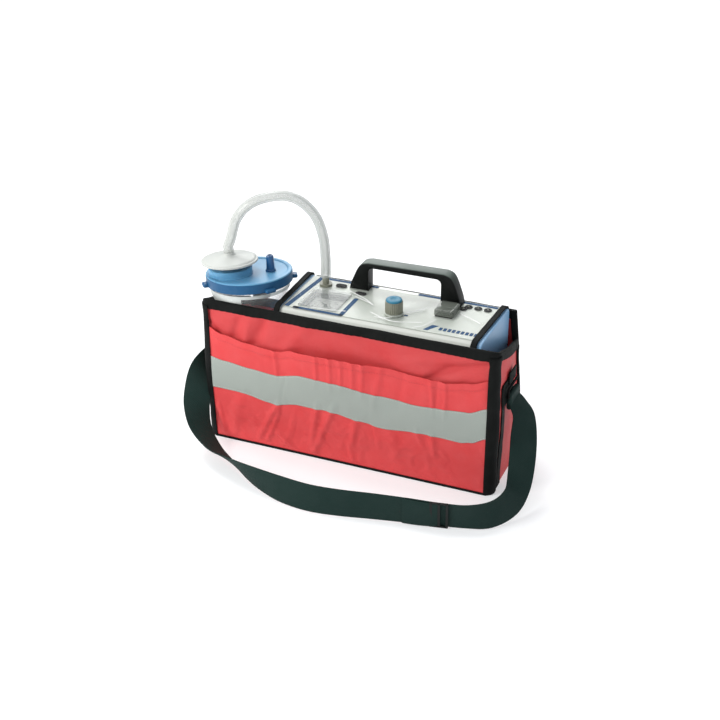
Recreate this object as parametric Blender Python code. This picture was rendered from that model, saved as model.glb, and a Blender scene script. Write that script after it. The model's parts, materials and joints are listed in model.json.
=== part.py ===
"""Portable suction pump in a carrying bag: casing, pump train, collection canister and soft bag.

Metres, +Z up.  X runs along the bag's long side with the canister at -X, the bag's front faces -Y.
The world origin is the bottom centre of the object's box, measured without the shoulder strap and hose.
"""
import math

import bmesh
import bpy
from mathutils import Matrix, Vector

# ------------------------------------------------------------------ driving dimensions (metres)
CENTRE_SHIFT = Vector((0.0072, 0.0029, 0.0))   # bag centre measured from the object's bottom centre
GAP = 0.0003                                   # clearance between pieces that touch

BAG_L = 0.420                                  # bag length
BAG_D = 0.140                                  # bag depth
BAG_H = 0.213                                  # front panel height
BAG_WALL = 0.0025                              # padded fabric
BAY_RIM_H = 0.157                              # back panel height behind the canister bay
BACK_RIM_H = 0.208                             # back panel height behind the unit
END_RIM_H = 0.166                              # end panel height at the back corner
BAG_R = 0.010                                  # vertical corner radius
LEFT_BULGE = 0.0115                            # canister pushes the left end out
RIGHT_PULL = 0.0200                            # cover pulls the right end in at the back

UNIT_X = (-0.108, 0.184)                       # casing ends, end caps included
UNIT_Y = (-0.063, 0.062)
UNIT_Z = (0.0085, 0.2155)
CASE_WALL = 0.0025
FRONT_R = 0.012                                # rounded upper front edge
CASE_R = 0.008
CAP_T = 0.007                                  # end cap thickness
LABEL_T = 0.0006
PANEL_Z = UNIT_Z[1] + GAP + LABEL_T            # top of the printed panel label

HANDLE_X = 0.0435                              # middle of the handle
HANDLE_Y = (0.033, 0.053)
HANDLE_TOP = 0.2605
HANDLE_GRIP_Z = 0.2515                         # underside of the grip

GAUGE_AT = (-0.053, -0.015)
GAUGE_SIDE = 0.058
PORT_AT = (-0.0715, 0.029)
KNOB_AT = (0.049, -0.0195)
KNOB_R = 0.012
KNOB_H = 0.0222
SWITCH_AT = (0.113, 0.0105)
LED_AT = [(0.1290, 0.0300), (0.1340, 0.0380), (0.1475, 0.0380), (0.1610, 0.0380)]
SOCKET_AT = (-0.050, 0.034)
FUSE_AT = (-0.0155, 0.0215)

CAN_BASE = Vector((-0.1520, -0.0262, 0.0091))  # centre of the jar's base
CAN_TOP = Vector((-0.1690, -0.0120, 0.2400))   # centre of the lid's top: the jar leans in its bay
LID_R = 0.060
LID_TOP = (CAN_TOP - CAN_BASE).length
FILTER_AT = (-0.0205, -0.0150)                 # filter centre from the lid's axis
FILTER_R = 0.039
FLOAT_AT = (0.006, 0.020)
SPIGOT_AT = (0.0286, 0.0099)

HOSE_D = 0.014
STRAP_W = 0.038
STRAP_T = 0.0022
RING_Y = -0.004

# The hose rises from the filter's nipple, arches over and comes down on the unit's port.
HOSE_ROUTE = [(-0.1885, -0.0226, 0.2895), (-0.1822, -0.0198, 0.3133), (-0.1708, -0.0148, 0.3311),
              (-0.1539, -0.0074, 0.3432), (-0.1302, 0.0031, 0.3491), (-0.1115, 0.0113, 0.3469),
              (-0.0953, 0.0185, 0.3357), (-0.0816, 0.0245, 0.3163), (-0.0737, 0.0280, 0.2883),
              (-0.0715, 0.0290, 0.2598), (-0.0715, 0.0290, 0.2400), (-0.0715, 0.0290, 0.2300)]

# Shoulder strap: centre of the webbing and the way its upper edge points, right ring to left ring.
STRAP_ROUTE = [((0.2136, -0.0040, 0.1225), (0.00, -1.00, 0.00)),
               ((0.2142, -0.0041, 0.1180), (-0.02, -1.00, 0.00)),
               ((0.2225, -0.0070, 0.1110), (-0.12, -1.00, 0.00)),
               ((0.2375, -0.0165, 0.0990), (-0.45, -0.90, 0.05)),
               ((0.2480, -0.0340, 0.0770), (-0.75, -0.65, 0.10)),
               ((0.2500, -0.0540, 0.0530), (-0.80, -0.50, 0.30)),
               ((0.2485, -0.0770, 0.0340), (-0.70, -0.25, 0.65)),
               ((0.2425, -0.1030, 0.0235), (-0.45, 0.00, 0.90)),
               ((0.2280, -0.1290, 0.0200), (-0.10, 0.10, 1.00)),
               ((0.2050, -0.1475, 0.0200), (0.00, -0.10, 1.00)),
               ((0.1700, -0.1590, 0.0200), (0.00, -0.10, 1.00)),
               ((0.1300, -0.1710, 0.0200), (0.00, 0.00, 1.00)),
               ((0.0850, -0.1795, 0.0200), (0.00, 0.08, 1.00)),
               ((0.0400, -0.1890, 0.0200), (0.00, 0.15, 1.00)),
               ((0.0000, -0.1970, 0.0200), (0.00, 0.20, 1.00)),
               ((-0.0400, -0.1965, 0.0200), (0.00, 0.15, 1.00)),
               ((-0.0800, -0.1860, 0.0200), (0.00, -0.15, 1.00)),
               ((-0.1150, -0.1700, 0.0190), (0.05, -0.50, 0.87)),
               ((-0.1450, -0.1510, 0.0180), (0.20, -0.80, 0.55)),
               ((-0.1750, -0.1310, 0.0215), (-0.05, -0.90, 0.40)),
               ((-0.2030, -0.1120, 0.0350), (-0.35, -0.85, 0.25)),
               ((-0.2240, -0.0930, 0.0560), (-0.60, -0.75, 0.10)),
               ((-0.2340, -0.0700, 0.0730), (-0.65, -0.75, 0.00)),
               ((-0.2375, -0.0480, 0.0865), (-0.60, -0.70, 0.25)),
               ((-0.2350, -0.0280, 0.0950), (-0.40, -0.75, 0.50)),
               ((-0.2298, -0.0135, 0.1010), (-0.18, -0.90, 0.40)),
               ((-0.2264, -0.0062, 0.1080), (-0.06, -1.00, 0.15)),
               ((-0.2249, -0.0041, 0.1155), (0.00, -1.00, 0.00)),
               ((-0.2247, -0.0040, 0.1225), (0.00, -1.00, 0.00))]

# ------------------------------------------------------------------ scene and materials
for old in list(bpy.data.objects):
    bpy.data.objects.remove(old, do_unlink=True)


def material(name, colour, rough=0.5, metal=0.0, alpha=1.0):
    mat = bpy.data.materials.new(name)
    mat.use_nodes = True
    shader = mat.node_tree.nodes["Principled BSDF"]
    shader.inputs["Base Color"].default_value = (*colour, 1.0)
    shader.inputs["Roughness"].default_value = rough
    shader.inputs["Metallic"].default_value = metal
    shader.inputs["Alpha"].default_value = alpha
    return mat


RED_FABRIC = material("red_fabric", (0.72, 0.06, 0.07), 0.65)
BLACK_TAPE = material("black_tape", (0.012, 0.014, 0.012), 0.7)
WEBBING = material("webbing", (0.012, 0.035, 0.030), 0.7)
REFLECTIVE = material("reflective_tape", (0.36, 0.39, 0.36), 0.45)
CLEAR_FILM = material("clear_film", (0.9, 0.92, 0.92), 0.1, alpha=0.3)
CASE_WHITE = material("case_white", (0.62, 0.64, 0.60), 0.45)
CASE_BLUE = material("case_blue", (0.17, 0.35, 0.58), 0.4)
LABEL_GREY = material("label_grey", (0.60, 0.63, 0.57), 0.4)
BLACK_PLASTIC = material("black_plastic", (0.015, 0.017, 0.016), 0.4)
RUBBER = material("rubber", (0.02, 0.02, 0.02), 0.8)
LID_BLUE = material("lid_blue", (0.10, 0.28, 0.55), 0.35)
SPIGOT_BLUE = material("spigot_blue", (0.02, 0.12, 0.38), 0.35)
CLEAR_PLASTIC = material("clear_plastic", (0.85, 0.88, 0.88), 0.1, alpha=0.3)
FILTER_WHITE = material("filter_white", (0.82, 0.84, 0.82), 0.35, alpha=0.7)
HOSE_CLEAR = material("hose_clear", (0.75, 0.77, 0.74), 0.25, alpha=0.6)
KNOB_GREY = material("knob_grey", (0.30, 0.29, 0.23), 0.5)
CAP_BLUE = material("cap_blue", (0.07, 0.32, 0.58), 0.4)
SMOKE = material("smoke_cover", (0.25, 0.27, 0.24), 0.25, alpha=0.5)
STEEL = material("steel", (0.55, 0.55, 0.56), 0.35, 1.0)
BRASS = material("brass", (0.60, 0.45, 0.18), 0.35, 1.0)
BOARD_GREEN = material("board_green", (0.03, 0.20, 0.08), 0.5)
BATTERY_GREY = material("battery_grey", (0.10, 0.11, 0.12), 0.6)
WHITE_DIAL = material("white_dial", (0.80, 0.80, 0.76), 0.5)
NEEDLE_DARK = material("needle_dark", (0.03, 0.03, 0.03), 0.5)


def empty(name, location, parent=None, rotation=None):
    obj = bpy.data.objects.new(name, None)
    bpy.context.scene.collection.objects.link(obj)
    obj.location = location
    obj.parent = parent
    if rotation is not None:
        obj.rotation_mode = "QUATERNION"
        obj.rotation_quaternion = rotation
    return obj


BAG_ORIGIN = empty("bag_origin", CENTRE_SHIFT)
LEAN = Vector((0, 0, 1)).rotation_difference(CAN_TOP - CAN_BASE)
CANISTER = empty("canister_axis", CAN_BASE, BAG_ORIGIN, LEAN)

# ------------------------------------------------------------------ shape helpers


def add_object(name, bm, mat, parent=BAG_ORIGIN, at=(0, 0, 0), smooth=True):
    """Close, orient and name one solid."""
    bmesh.ops.remove_doubles(bm, verts=bm.verts, dist=1e-6)
    bmesh.ops.recalc_face_normals(bm, faces=bm.faces)
    mesh = bpy.data.meshes.new(name)
    bm.to_mesh(mesh)
    bm.free()
    if smooth:
        mesh.shade_smooth()
        mesh.set_sharp_from_angle(angle=math.radians(35))
    obj = bpy.data.objects.new(name, mesh)
    bpy.context.scene.collection.objects.link(obj)
    obj.location = at
    obj.parent = parent
    if mat:
        mesh.materials.append(mat)
    return obj


def box(name, low, high, mat, parent=BAG_ORIGIN, at=(0, 0, 0), bevel=0.0):
    low, high = Vector(low), Vector(high)
    bm = bmesh.new()
    bmesh.ops.create_cube(bm, size=1.0)
    bmesh.ops.scale(bm, vec=high - low, verts=bm.verts)
    bmesh.ops.translate(bm, vec=(low + high) / 2, verts=bm.verts)
    if bevel:
        bmesh.ops.bevel(bm, geom=list(bm.edges), offset=bevel, segments=2, profile=0.5,
                        affect="EDGES", material=-1)
    return add_object(name, bm, mat, parent, at)


def rounded_outline(low, high, radii, steps=5):
    """Counter-clockwise rounded rectangle; radii in the order low-low, high-low, high-high, low-high."""
    corners = [(low[0], low[1], 1, 1, 180), (high[0], low[1], -1, 1, 270),
               (high[0], high[1], -1, -1, 0), (low[0], high[1], 1, -1, 90)]
    points = []
    for (x, y, sx, sy, start), r in zip(corners, radii):
        for i in range(steps + 1):
            a = math.radians(start + 90 * i / steps)
            points.append((x + sx * r + r * math.cos(a), y + sy * r + r * math.sin(a)))
    return points


def place(points, axis, level):
    """Put 2-D points on the plane at level: X takes (y, z), Y takes (x, z), Z takes (x, y)."""
    if axis == "X":
        return [Vector((level, p[0], p[1])) for p in points]
    if axis == "Y":
        return [Vector((p[0], level, p[1])) for p in points]
    return [Vector((p[0], p[1], level)) for p in points]


def loop(bm, points):
    return [bm.verts.new(p) for p in points]


def skin(bm, one, other):
    """Quads between two closed loops of as many vertices, point for point."""
    for i in range(len(one)):
        bm.faces.new((one[i - 1], one[i], other[i], other[i - 1]))


def prism(name, outline, axis, low, high, mat, parent=BAG_ORIGIN, at=(0, 0, 0), hole=None, bevel=0.0):
    """Extrude an outline along an axis; a hole outline of the same length makes it a sleeve."""
    bm = bmesh.new()
    outer = [loop(bm, place(outline, axis, level)) for level in (low, high)]
    skin(bm, outer[0], outer[1])
    if hole:
        inner = [loop(bm, place(hole, axis, level)) for level in (low, high)]
        skin(bm, inner[0], inner[1])
        for k in (0, 1):
            skin(bm, outer[k], inner[k])
    else:
        caps = [bm.faces.new(verts) for verts in outer]
        bmesh.ops.recalc_face_normals(bm, faces=bm.faces)
        if bevel:
            rims = [e for face in caps for e in face.edges]
            bmesh.ops.bevel(bm, geom=rims, offset=bevel, segments=2, profile=0.5, affect="EDGES",
                            material=-1)
    return add_object(name, bm, mat, parent, at)


def turned(name, profile, mat, parent=BAG_ORIGIN, at=(0, 0, 0), steps=32, axis="Z"):
    """Spin a closed (radius, height) profile about the axis through at."""
    bm = bmesh.new()
    verts = [bm.verts.new((r, 0.0, z)) for r, z in profile]
    edges = [bm.edges.new((verts[i - 1], verts[i])) for i in range(len(verts))]
    bmesh.ops.spin(bm, geom=verts + edges, cent=(0, 0, 0), axis=(0, 0, 1), angle=2 * math.pi,
                   steps=steps, use_merge=True)
    bmesh.ops.remove_doubles(bm, verts=bm.verts, dist=1e-6)
    bmesh.ops.dissolve_degenerate(bm, edges=bm.edges, dist=1e-7)
    loose = [e for e in bm.edges if not e.link_faces]
    bmesh.ops.delete(bm, geom=loose, context="EDGES")
    if axis == "X":
        bmesh.ops.rotate(bm, verts=bm.verts, matrix=Matrix.Rotation(math.pi / 2, 3, "Y"))
    return add_object(name, bm, mat, parent, at)


def disc(name, radius, low, high, mat, parent=BAG_ORIGIN, at=(0, 0, 0), steps=32, axis="Z"):
    return turned(name, [(0, low), (radius, low), (radius, high), (0, high)], mat, parent, at, steps, axis)


def washer(name, inner, outer, low, high, mat, parent=BAG_ORIGIN, at=(0, 0, 0), steps=32, axis="Z"):
    profile = [(inner, low), (outer, low), (outer, high), (inner, high)]
    return turned(name, profile, mat, parent, at, steps, axis)


def cutter(obj):
    obj.hide_render = True
    obj.display_type = "WIRE"
    return obj


def cut(obj, *tools):
    for tool in tools:
        mod = obj.modifiers.new("cut", "BOOLEAN")
        mod.operation = "DIFFERENCE"
        mod.object = cutter(tool)
    return obj


def join(obj, *tools):
    for tool in tools:
        mod = obj.modifiers.new("join", "BOOLEAN")
        mod.operation = "UNION"
        mod.object = cutter(tool)
    return obj


def smooth_curve(points, steps):
    """Points of a smooth curve through the given ones, steps for each span."""
    points = [Vector(p) for p in points]
    ends = [points[0] * 2 - points[1]] + points + [points[-1] * 2 - points[-2]]
    result = []
    for i in range(1, len(ends) - 2):
        a, b, c, d = ends[i - 1:i + 3]
        for k in range(steps):
            t = k / steps
            result.append(0.5 * (2 * b + (c - a) * t + (2 * a - 5 * b + 4 * c - d) * t ** 2
                                 + (3 * b - a - 3 * c + d) * t ** 3))
    return result + [points[-1]]


def tube(name, route, radius, mat, parent=BAG_ORIGIN, steps=3, resolution=2):
    curve = bpy.data.curves.new(name, "CURVE")
    curve.dimensions = "3D"
    curve.bevel_depth = radius
    curve.bevel_resolution = resolution
    curve.use_fill_caps = True
    points = smooth_curve(route, steps)
    spline = curve.splines.new("POLY")
    spline.points.add(len(points) - 1)
    for point, co in zip(spline.points, points):
        point.co = (*co, 1.0)
    obj = bpy.data.objects.new(name, curve)
    bpy.context.scene.collection.objects.link(obj)
    obj.parent = parent
    curve.materials.append(mat)
    return obj


# ------------------------------------------------------------------ bag


def bag_outline(inset, level, count_end=8):
    """One level of the bag wall, 0 at the floor and 1 at the rim; each point carries its rim height."""
    half_l, half_d, r = BAG_L / 2 - inset, BAG_D / 2 - inset, BAG_R - inset
    flat = rounded_outline((-half_l, -half_d), (half_l, half_d), [r] * 4, steps=3)
    front = [(x, -half_d) for x in (-0.10, 0.0, 0.10)]
    back = [(x, half_d) for x in (0.08, -0.104 + inset, -0.116 - inset)]
    right = [(half_l, -half_d + r + (2 * half_d - 2 * r) * k / 5) for k in range(1, 5)]
    left = [(-half_l, half_d - r - (2 * half_d - 2 * r) * k / 5) for k in range(1, 5)]
    points = flat[:4] + front + flat[4:8] + right + flat[8:12] + back + flat[12:] + left
    result = []
    for x, y in points:
        across = min(max((y + BAG_D / 2) / BAG_D, 0), 1)
        if y > half_d - 1e-6 and x < half_l - r + 1e-6:
            rim = BAY_RIM_H if x < -0.110 else BACK_RIM_H
        elif x > 0:
            rim = BAG_H + (END_RIM_H - BAG_H) * across
        else:
            rim = BAG_H + (BAY_RIM_H - BAG_H) * across
        if x > 0.16:
            x -= RIGHT_PULL * across ** 2 * level * (x - 0.16) / 0.05
        if x < -0.199:
            x -= LEFT_BULGE * math.sin(math.pi * across) ** 3 * math.sin(math.pi / 2 * min(1.3 * level, 1))
        result.append((x, y, rim))
    return result


def bag_body():
    """Open-topped fabric tub with a low rim round the canister bay."""
    levels = (0.0, 0.25, 0.5, 0.75, 1.0)
    bm = bmesh.new()
    outer, inner = [], []
    for level in levels:
        outer.append(loop(bm, [Vector((x, y, rim * level)) for x, y, rim in bag_outline(0.0, level)]))
        walls = bag_outline(BAG_WALL, level)
        inner.append(loop(bm, [Vector((x, y, BAG_WALL + (rim - BAG_WALL) * level)) for x, y, rim in walls]))
    for shell in (outer, inner):
        for low, high in zip(shell, shell[1:]):
            skin(bm, low, high)
        bm.faces.new(shell[0])
    skin(bm, outer[-1], inner[-1])
    bmesh.ops.triangulate(bm, faces=bm.faces)
    return add_object("bag_body", bm, RED_FABRIC)


def rim_tape():
    """Binding tape folded over the rim, a closed loop that follows its steps."""
    tape_w, out, thick = 0.012, 0.0005, 0.0012
    bm = bmesh.new()
    rows = []
    for inset, drop in ((-out, tape_w), (-out - thick, tape_w), (-out - thick, -0.0016), (BAG_WALL / 2, -0.0016),
                        (BAG_WALL / 2, -0.0005), (-out, -0.0005)):
        level = min(1.0, 1.0 - drop / BACK_RIM_H)
        rows.append(loop(bm, [Vector((x, y, rim - drop)) for x, y, rim in bag_outline(inset, level)]))
    for k, row in enumerate(rows):
        skin(bm, rows[k - 1], row)
    bmesh.ops.triangulate(bm, faces=bm.faces)
    return add_object("rim_binding", bm, BLACK_TAPE)


def corner_tape(name, side):
    """Binding tape up a front corner, folded round it."""
    x_out = side * (BAG_L / 2 + 0.0018)
    x_in = side * (BAG_L / 2 + 0.0006)
    y_out, y_in = -BAG_D / 2 - 0.0018, -BAG_D / 2 - 0.0006
    r_out, r_in, reach = BAG_R + 0.0018, BAG_R + 0.0006, 0.013
    arc = [math.radians(90 * i / 4) for i in range(5)]
    outer = [(x_out - side * r_out * (1 - math.sin(a)), y_out + r_out * (1 - math.cos(a))) for a in arc]
    inner = [(x_in - side * r_in * (1 - math.sin(a)), y_in + r_in * (1 - math.cos(a))) for a in arc]
    start_o, start_i = (x_out - side * reach, y_out), (x_out - side * reach, y_in)
    end_o, end_i = (x_out, y_out + reach), (x_in, y_out + reach)
    outline = [start_o] + outer + [end_o, end_i] + inner[::-1] + [start_i]
    return prism(name, outline, "Z", 0.002, BAG_H - 0.020, BLACK_TAPE)


def front_pocket():
    """Flat pocket sewn to the front at its foot and sides, standing open along its top."""
    top, foot, half = 0.165, 0.003, BAG_L / 2 - 0.0135
    columns = 14
    bm = bmesh.new()
    rows = {}
    for side, offset in (("front", 0.0020), ("back", 0.0006)):
        for level in range(5):
            line = []
            for c in range(columns + 1):
                u = c / columns
                lift = 0.0055 * math.sin(math.pi * u) ** 0.7 * (level / 4) ** 2
                wave = 0.004 * math.cos(3 * math.pi * u) + 0.004 * (2 * u - 1) ** 2
                z = foot + (top + wave - foot) * level / 4
                line.append(bm.verts.new((-half + 2 * half * u, -BAG_D / 2 - offset - lift, z)))
            rows[side, level] = line
    for c in range(columns):
        for level in range(4):
            for side in ("front", "back"):
                a, b = rows[side, level], rows[side, level + 1]
                bm.faces.new((a[c], a[c + 1], b[c + 1], b[c]))
        for level in (0, 4):
            a, b = rows["front", level], rows["back", level]
            bm.faces.new((a[c], a[c + 1], b[c + 1], b[c]))
    for level in range(4):
        for c in (0, columns):
            a, b = rows["front", level], rows["back", level]
            a2, b2 = rows["front", level + 1], rows["back", level + 1]
            bm.faces.new((a[c], b[c], b2[c], a2[c]))
    return add_object("front_pocket", bm, RED_FABRIC)


def reflective_band():
    """Reflective tape sewn across the pocket."""
    low, high, half = 0.077, 0.124, BAG_L / 2 - 0.0135
    columns = 14
    bm = bmesh.new()
    rows = {}
    for side, offset in (("front", 0.0032), ("back", 0.0024)):
        for k, z in enumerate((low, (low + high) / 2, high)):
            line = []
            for c in range(columns + 1):
                u = c / columns
                lift = 0.0055 * math.sin(math.pi * u) ** 0.7 * (z / 0.165) ** 2
                line.append(bm.verts.new((-half + 2 * half * u, -BAG_D / 2 - offset - lift, z)))
            rows[side, k] = line
    for c in range(columns):
        for k in (0, 1):
            for side in ("front", "back"):
                a, b = rows[side, k], rows[side, k + 1]
                bm.faces.new((a[c], a[c + 1], b[c + 1], b[c]))
        for k in (0, 2):
            a, b = rows["front", k], rows["back", k]
            bm.faces.new((a[c], a[c + 1], b[c + 1], b[c]))
    for k in (0, 1):
        for c in (0, columns):
            a, b, a2, b2 = rows["front", k], rows["back", k], rows["front", k + 1], rows["back", k + 1]
            bm.faces.new((a[c], b[c], b2[c], a2[c]))
    return add_object("reflective_band", bm, REFLECTIVE)


def cover_profile(inner, outer):
    """Strip over the casing's top, offset inner to outer, hanging a little way down front and back."""
    y0, y1, z1 = UNIT_Y[0], UNIT_Y[1], UNIT_Z[1]
    drop = 0.018

    def side(offset):
        top, points = z1 + LABEL_T + GAP + offset, [(y0 - offset, z1 - drop)]
        r = FRONT_R + offset
        centre = (y0 - offset + r, top - r)
        points += [(centre[0] - r * math.cos(a), centre[1] + r * math.sin(a))
                   for a in (math.radians(18 * i) for i in range(6))]
        r = CASE_R + offset
        centre = (y1 + offset - r, top - r)
        points += [(centre[0] + r * math.sin(a), centre[1] + r * math.cos(a))
                   for a in (math.radians(18 * i) for i in range(6))]
        return points + [(y1 + offset, z1 - drop)]

    return side(outer) + side(inner)[::-1]


def panel_cutters(z0, z1, margin, names):
    """Through cutters for the holes of the top panel."""
    tools = {
        "gauge": lambda: box("cut_gauge", (GAUGE_AT[0] - GAUGE_SIDE / 2 + 0.002 - margin,
                                           GAUGE_AT[1] - GAUGE_SIDE / 2 + 0.002 - margin, z0),
                             (GAUGE_AT[0] + GAUGE_SIDE / 2 - 0.002 + margin,
                              GAUGE_AT[1] + GAUGE_SIDE / 2 - 0.002 + margin, z1), None),
        "port": lambda: disc("cut_port", 0.0055 + margin, z0, z1, None, at=(*PORT_AT, 0), steps=20),
        "knob": lambda: disc("cut_knob", 0.0045 + margin, z0, z1, None, at=(*KNOB_AT, 0), steps=20),
        "switch": lambda: box("cut_switch", (SWITCH_AT[0] - 0.0105 - margin, SWITCH_AT[1] - 0.0135 - margin, z0),
                              (SWITCH_AT[0] + 0.0105 + margin, SWITCH_AT[1] + 0.0135 + margin, z1), None),
        "socket": lambda: disc("cut_socket", 0.0040 + margin, z0, z1, None, at=(*SOCKET_AT, 0), steps=16),
        "fuse": lambda: disc("cut_fuse", 0.0027 + margin, z0, z1, None, at=(*FUSE_AT, 0), steps=16),
    }
    made = [tools[n]() for n in names if n in tools]
    if "leds" in names:
        made += [disc("cut_led", 0.0036 + margin, z0, z1, None, at=(*p, 0), steps=12) for p in LED_AT]
    if "handle" in names:
        made += [disc("cut_handle", 0.0026 + margin, z0, z1, None, at=(p, 0.043, 0), steps=12)
                 for p in (HANDLE_X - 0.066, HANDLE_X + 0.066)]
    return made


def window_cover():
    """Clear film over the unit's top, with tape down both of its ends."""
    profile = cover_profile(0.0018, 0.0026)
    film = prism("window_film", profile, "X", -0.1022, 0.1717, CLEAR_FILM)
    z0, z1 = 0.20, 0.24
    left = HANDLE_X - 0.0825, HANDLE_X - 0.0500
    right = HANDLE_X + 0.0500, HANDLE_X + 0.0825
    cut(film,
        box("cut_foot_left", (left[0], 0.031, z0), (left[1], 0.0545, z1), None),
        box("cut_foot_right", (right[0], 0.031, z0), (right[1], 0.0545, z1), None),
        disc("cut_film_port", 0.0105, z0, z1, None, at=(*PORT_AT, 0), steps=20),
        disc("cut_film_knob", 0.0165, z0, z1, None, at=(*KNOB_AT, 0), steps=28),
        box("cut_film_switch", (0.0980, -0.0070, z0), (0.1280, 0.0280, z1), None))
    tape = cover_profile(0.0012, 0.0030)
    prism("film_binding_left", tape, "X", -0.1115, -0.1025, BLACK_TAPE)
    prism("film_binding_right", tape, "X", 0.1720, 0.1810, BLACK_TAPE)


def strap_fittings():
    """Webbing anchors sewn to the end panels and the rings that the strap hooks into."""
    for side, name in ((1, "right"), (-1, "left")):
        face = BAG_L / 2 + (LEFT_BULGE if side < 0 else 0.0) + 0.0006
        low, high = sorted((side * face, side * (face + 0.0018)))
        box(f"anchor_webbing_{name}", (low, RING_Y - 0.014, 0.1425), (high, RING_Y + 0.014, 0.160), WEBBING)
        mid = side * (face + 0.0030)
        outline = rounded_outline((RING_Y - 0.0235, 0.1250), (RING_Y + 0.0235, 0.1420), [0.004] * 4, 3)
        hole = rounded_outline((RING_Y - 0.0200, 0.1285), (RING_Y + 0.0200, 0.1385), [0.0015] * 4, 3)
        prism(f"strap_ring_{name}", outline, "X", mid - 0.0018, mid + 0.0018, STEEL, hole=hole)


def strap_frames(steps):
    centres = smooth_curve([p for p, _ in STRAP_ROUTE], steps)
    uppers = smooth_curve([w for _, w in STRAP_ROUTE], steps)
    frames = []
    for i, (co, up) in enumerate(zip(centres, uppers)):
        along = (centres[min(i + 1, len(centres) - 1)] - centres[max(i - 1, 0)]).normalized()
        across = (up - along * up.dot(along)).normalized()
        frames.append((co, along, across))
    return frames


def shoulder_strap():
    """Flat webbing from ring to ring, standing on its edge along the floor."""
    bm = bmesh.new()
    rows = []
    for co, along, across in strap_frames(2):
        normal = along.cross(across)
        rows.append(loop(bm, [co + across * STRAP_W / 2 * u + normal * STRAP_T / 2 * v
                              for u, v in ((-1, -1), (1, -1), (1, 1), (-1, 1))]))
    for a, b in zip(rows, rows[1:]):
        skin(bm, a, b)
    bm.faces.new(rows[0])
    bm.faces.new(rows[-1])
    bmesh.ops.triangulate(bm, faces=bm.faces)
    return add_object("shoulder_strap", bm, WEBBING)


def strap_slider():
    """Two-slot adjuster on the outer face of the strap."""
    half_w, half_l, thick = 0.0215, 0.0125, 0.0024
    co, along, across = strap_frames(2)[19]
    normal = across.cross(along)
    outline = rounded_outline((-half_l, -half_w), (half_l, half_w), [0.003] * 4, 3)
    slider = prism("strap_slider", outline, "Z", -thick / 2, thick / 2, BLACK_PLASTIC)
    slots = [box("cut_slot", (s - 0.0032, -0.0195, -0.01), (s + 0.0032, 0.0195, 0.01), None)
             for s in (-0.0062, 0.0062)]
    cut(slider, *slots)
    turn = Matrix((along, across, along.cross(across))).transposed().to_4x4()
    where = co + normal * (STRAP_T / 2 + thick / 2 + 0.0012) + Vector((0, 0, 0.0020))
    for obj in [slider] + slots:
        obj.matrix_local = Matrix.Translation(where) @ turn


def bag():
    bag_body()
    rim_tape()
    corner_tape("corner_binding_left", -1)
    corner_tape("corner_binding_right", 1)
    front_pocket()
    reflective_band()
    box("bay_divider", (-0.1112, -0.0655, 0.0030), (-0.1090, 0.0600, 0.1900), RED_FABRIC)
    window_cover()
    strap_fittings()
    shoulder_strap()
    strap_slider()


# ------------------------------------------------------------------ casing and panel


def casing():
    """Wrap-round casing sleeve with the panel's holes, end caps, feet and printed label."""
    x0, x1 = UNIT_X[0] + CAP_T + GAP, UNIT_X[1] - CAP_T - GAP
    (y0, y1), (z0, z1) = UNIT_Y, UNIT_Z
    radii = [CASE_R, CASE_R, CASE_R, FRONT_R]
    inner_radii = [r - CASE_WALL for r in radii]
    outline = rounded_outline((y0, z0), (y1, z1), radii)
    hole = rounded_outline((y0 + CASE_WALL, z0 + CASE_WALL), (y1 - CASE_WALL, z1 - CASE_WALL), inner_radii)
    sleeve = prism("case_sleeve", outline, "X", x0, x1, CASE_WHITE, hole=hole)
    names = ("gauge", "port", "knob", "switch", "socket", "fuse", "leds", "handle")
    cut(sleeve, *panel_cutters(z1 - 0.01, z1 + 0.01, 0.0, names))
    label = box("panel_label", (x0 + 0.004, y0 + FRONT_R, z1 + GAP), (x1 - 0.004, y1 - CASE_R, PANEL_Z), LABEL_GREY)
    cut(label, *panel_cutters(z1 - 0.01, z1 + 0.01, 0.0006, names))
    for name, xa, xb in (("end_cap_left", UNIT_X[0], x0 - GAP), ("end_cap_right", x1 + GAP, UNIT_X[1])):
        prism(name, outline, "X", xa, xb, CASE_BLUE, bevel=0.0015)
    for name, y in (("foot_front", y0 + 0.020), ("foot_back", y1 - 0.020)):
        box(name, (x0 + 0.03, y - 0.006, BAG_WALL + GAP), (x1 - 0.03, y + 0.006, z0 - GAP), RUBBER, bevel=0.001)


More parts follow.
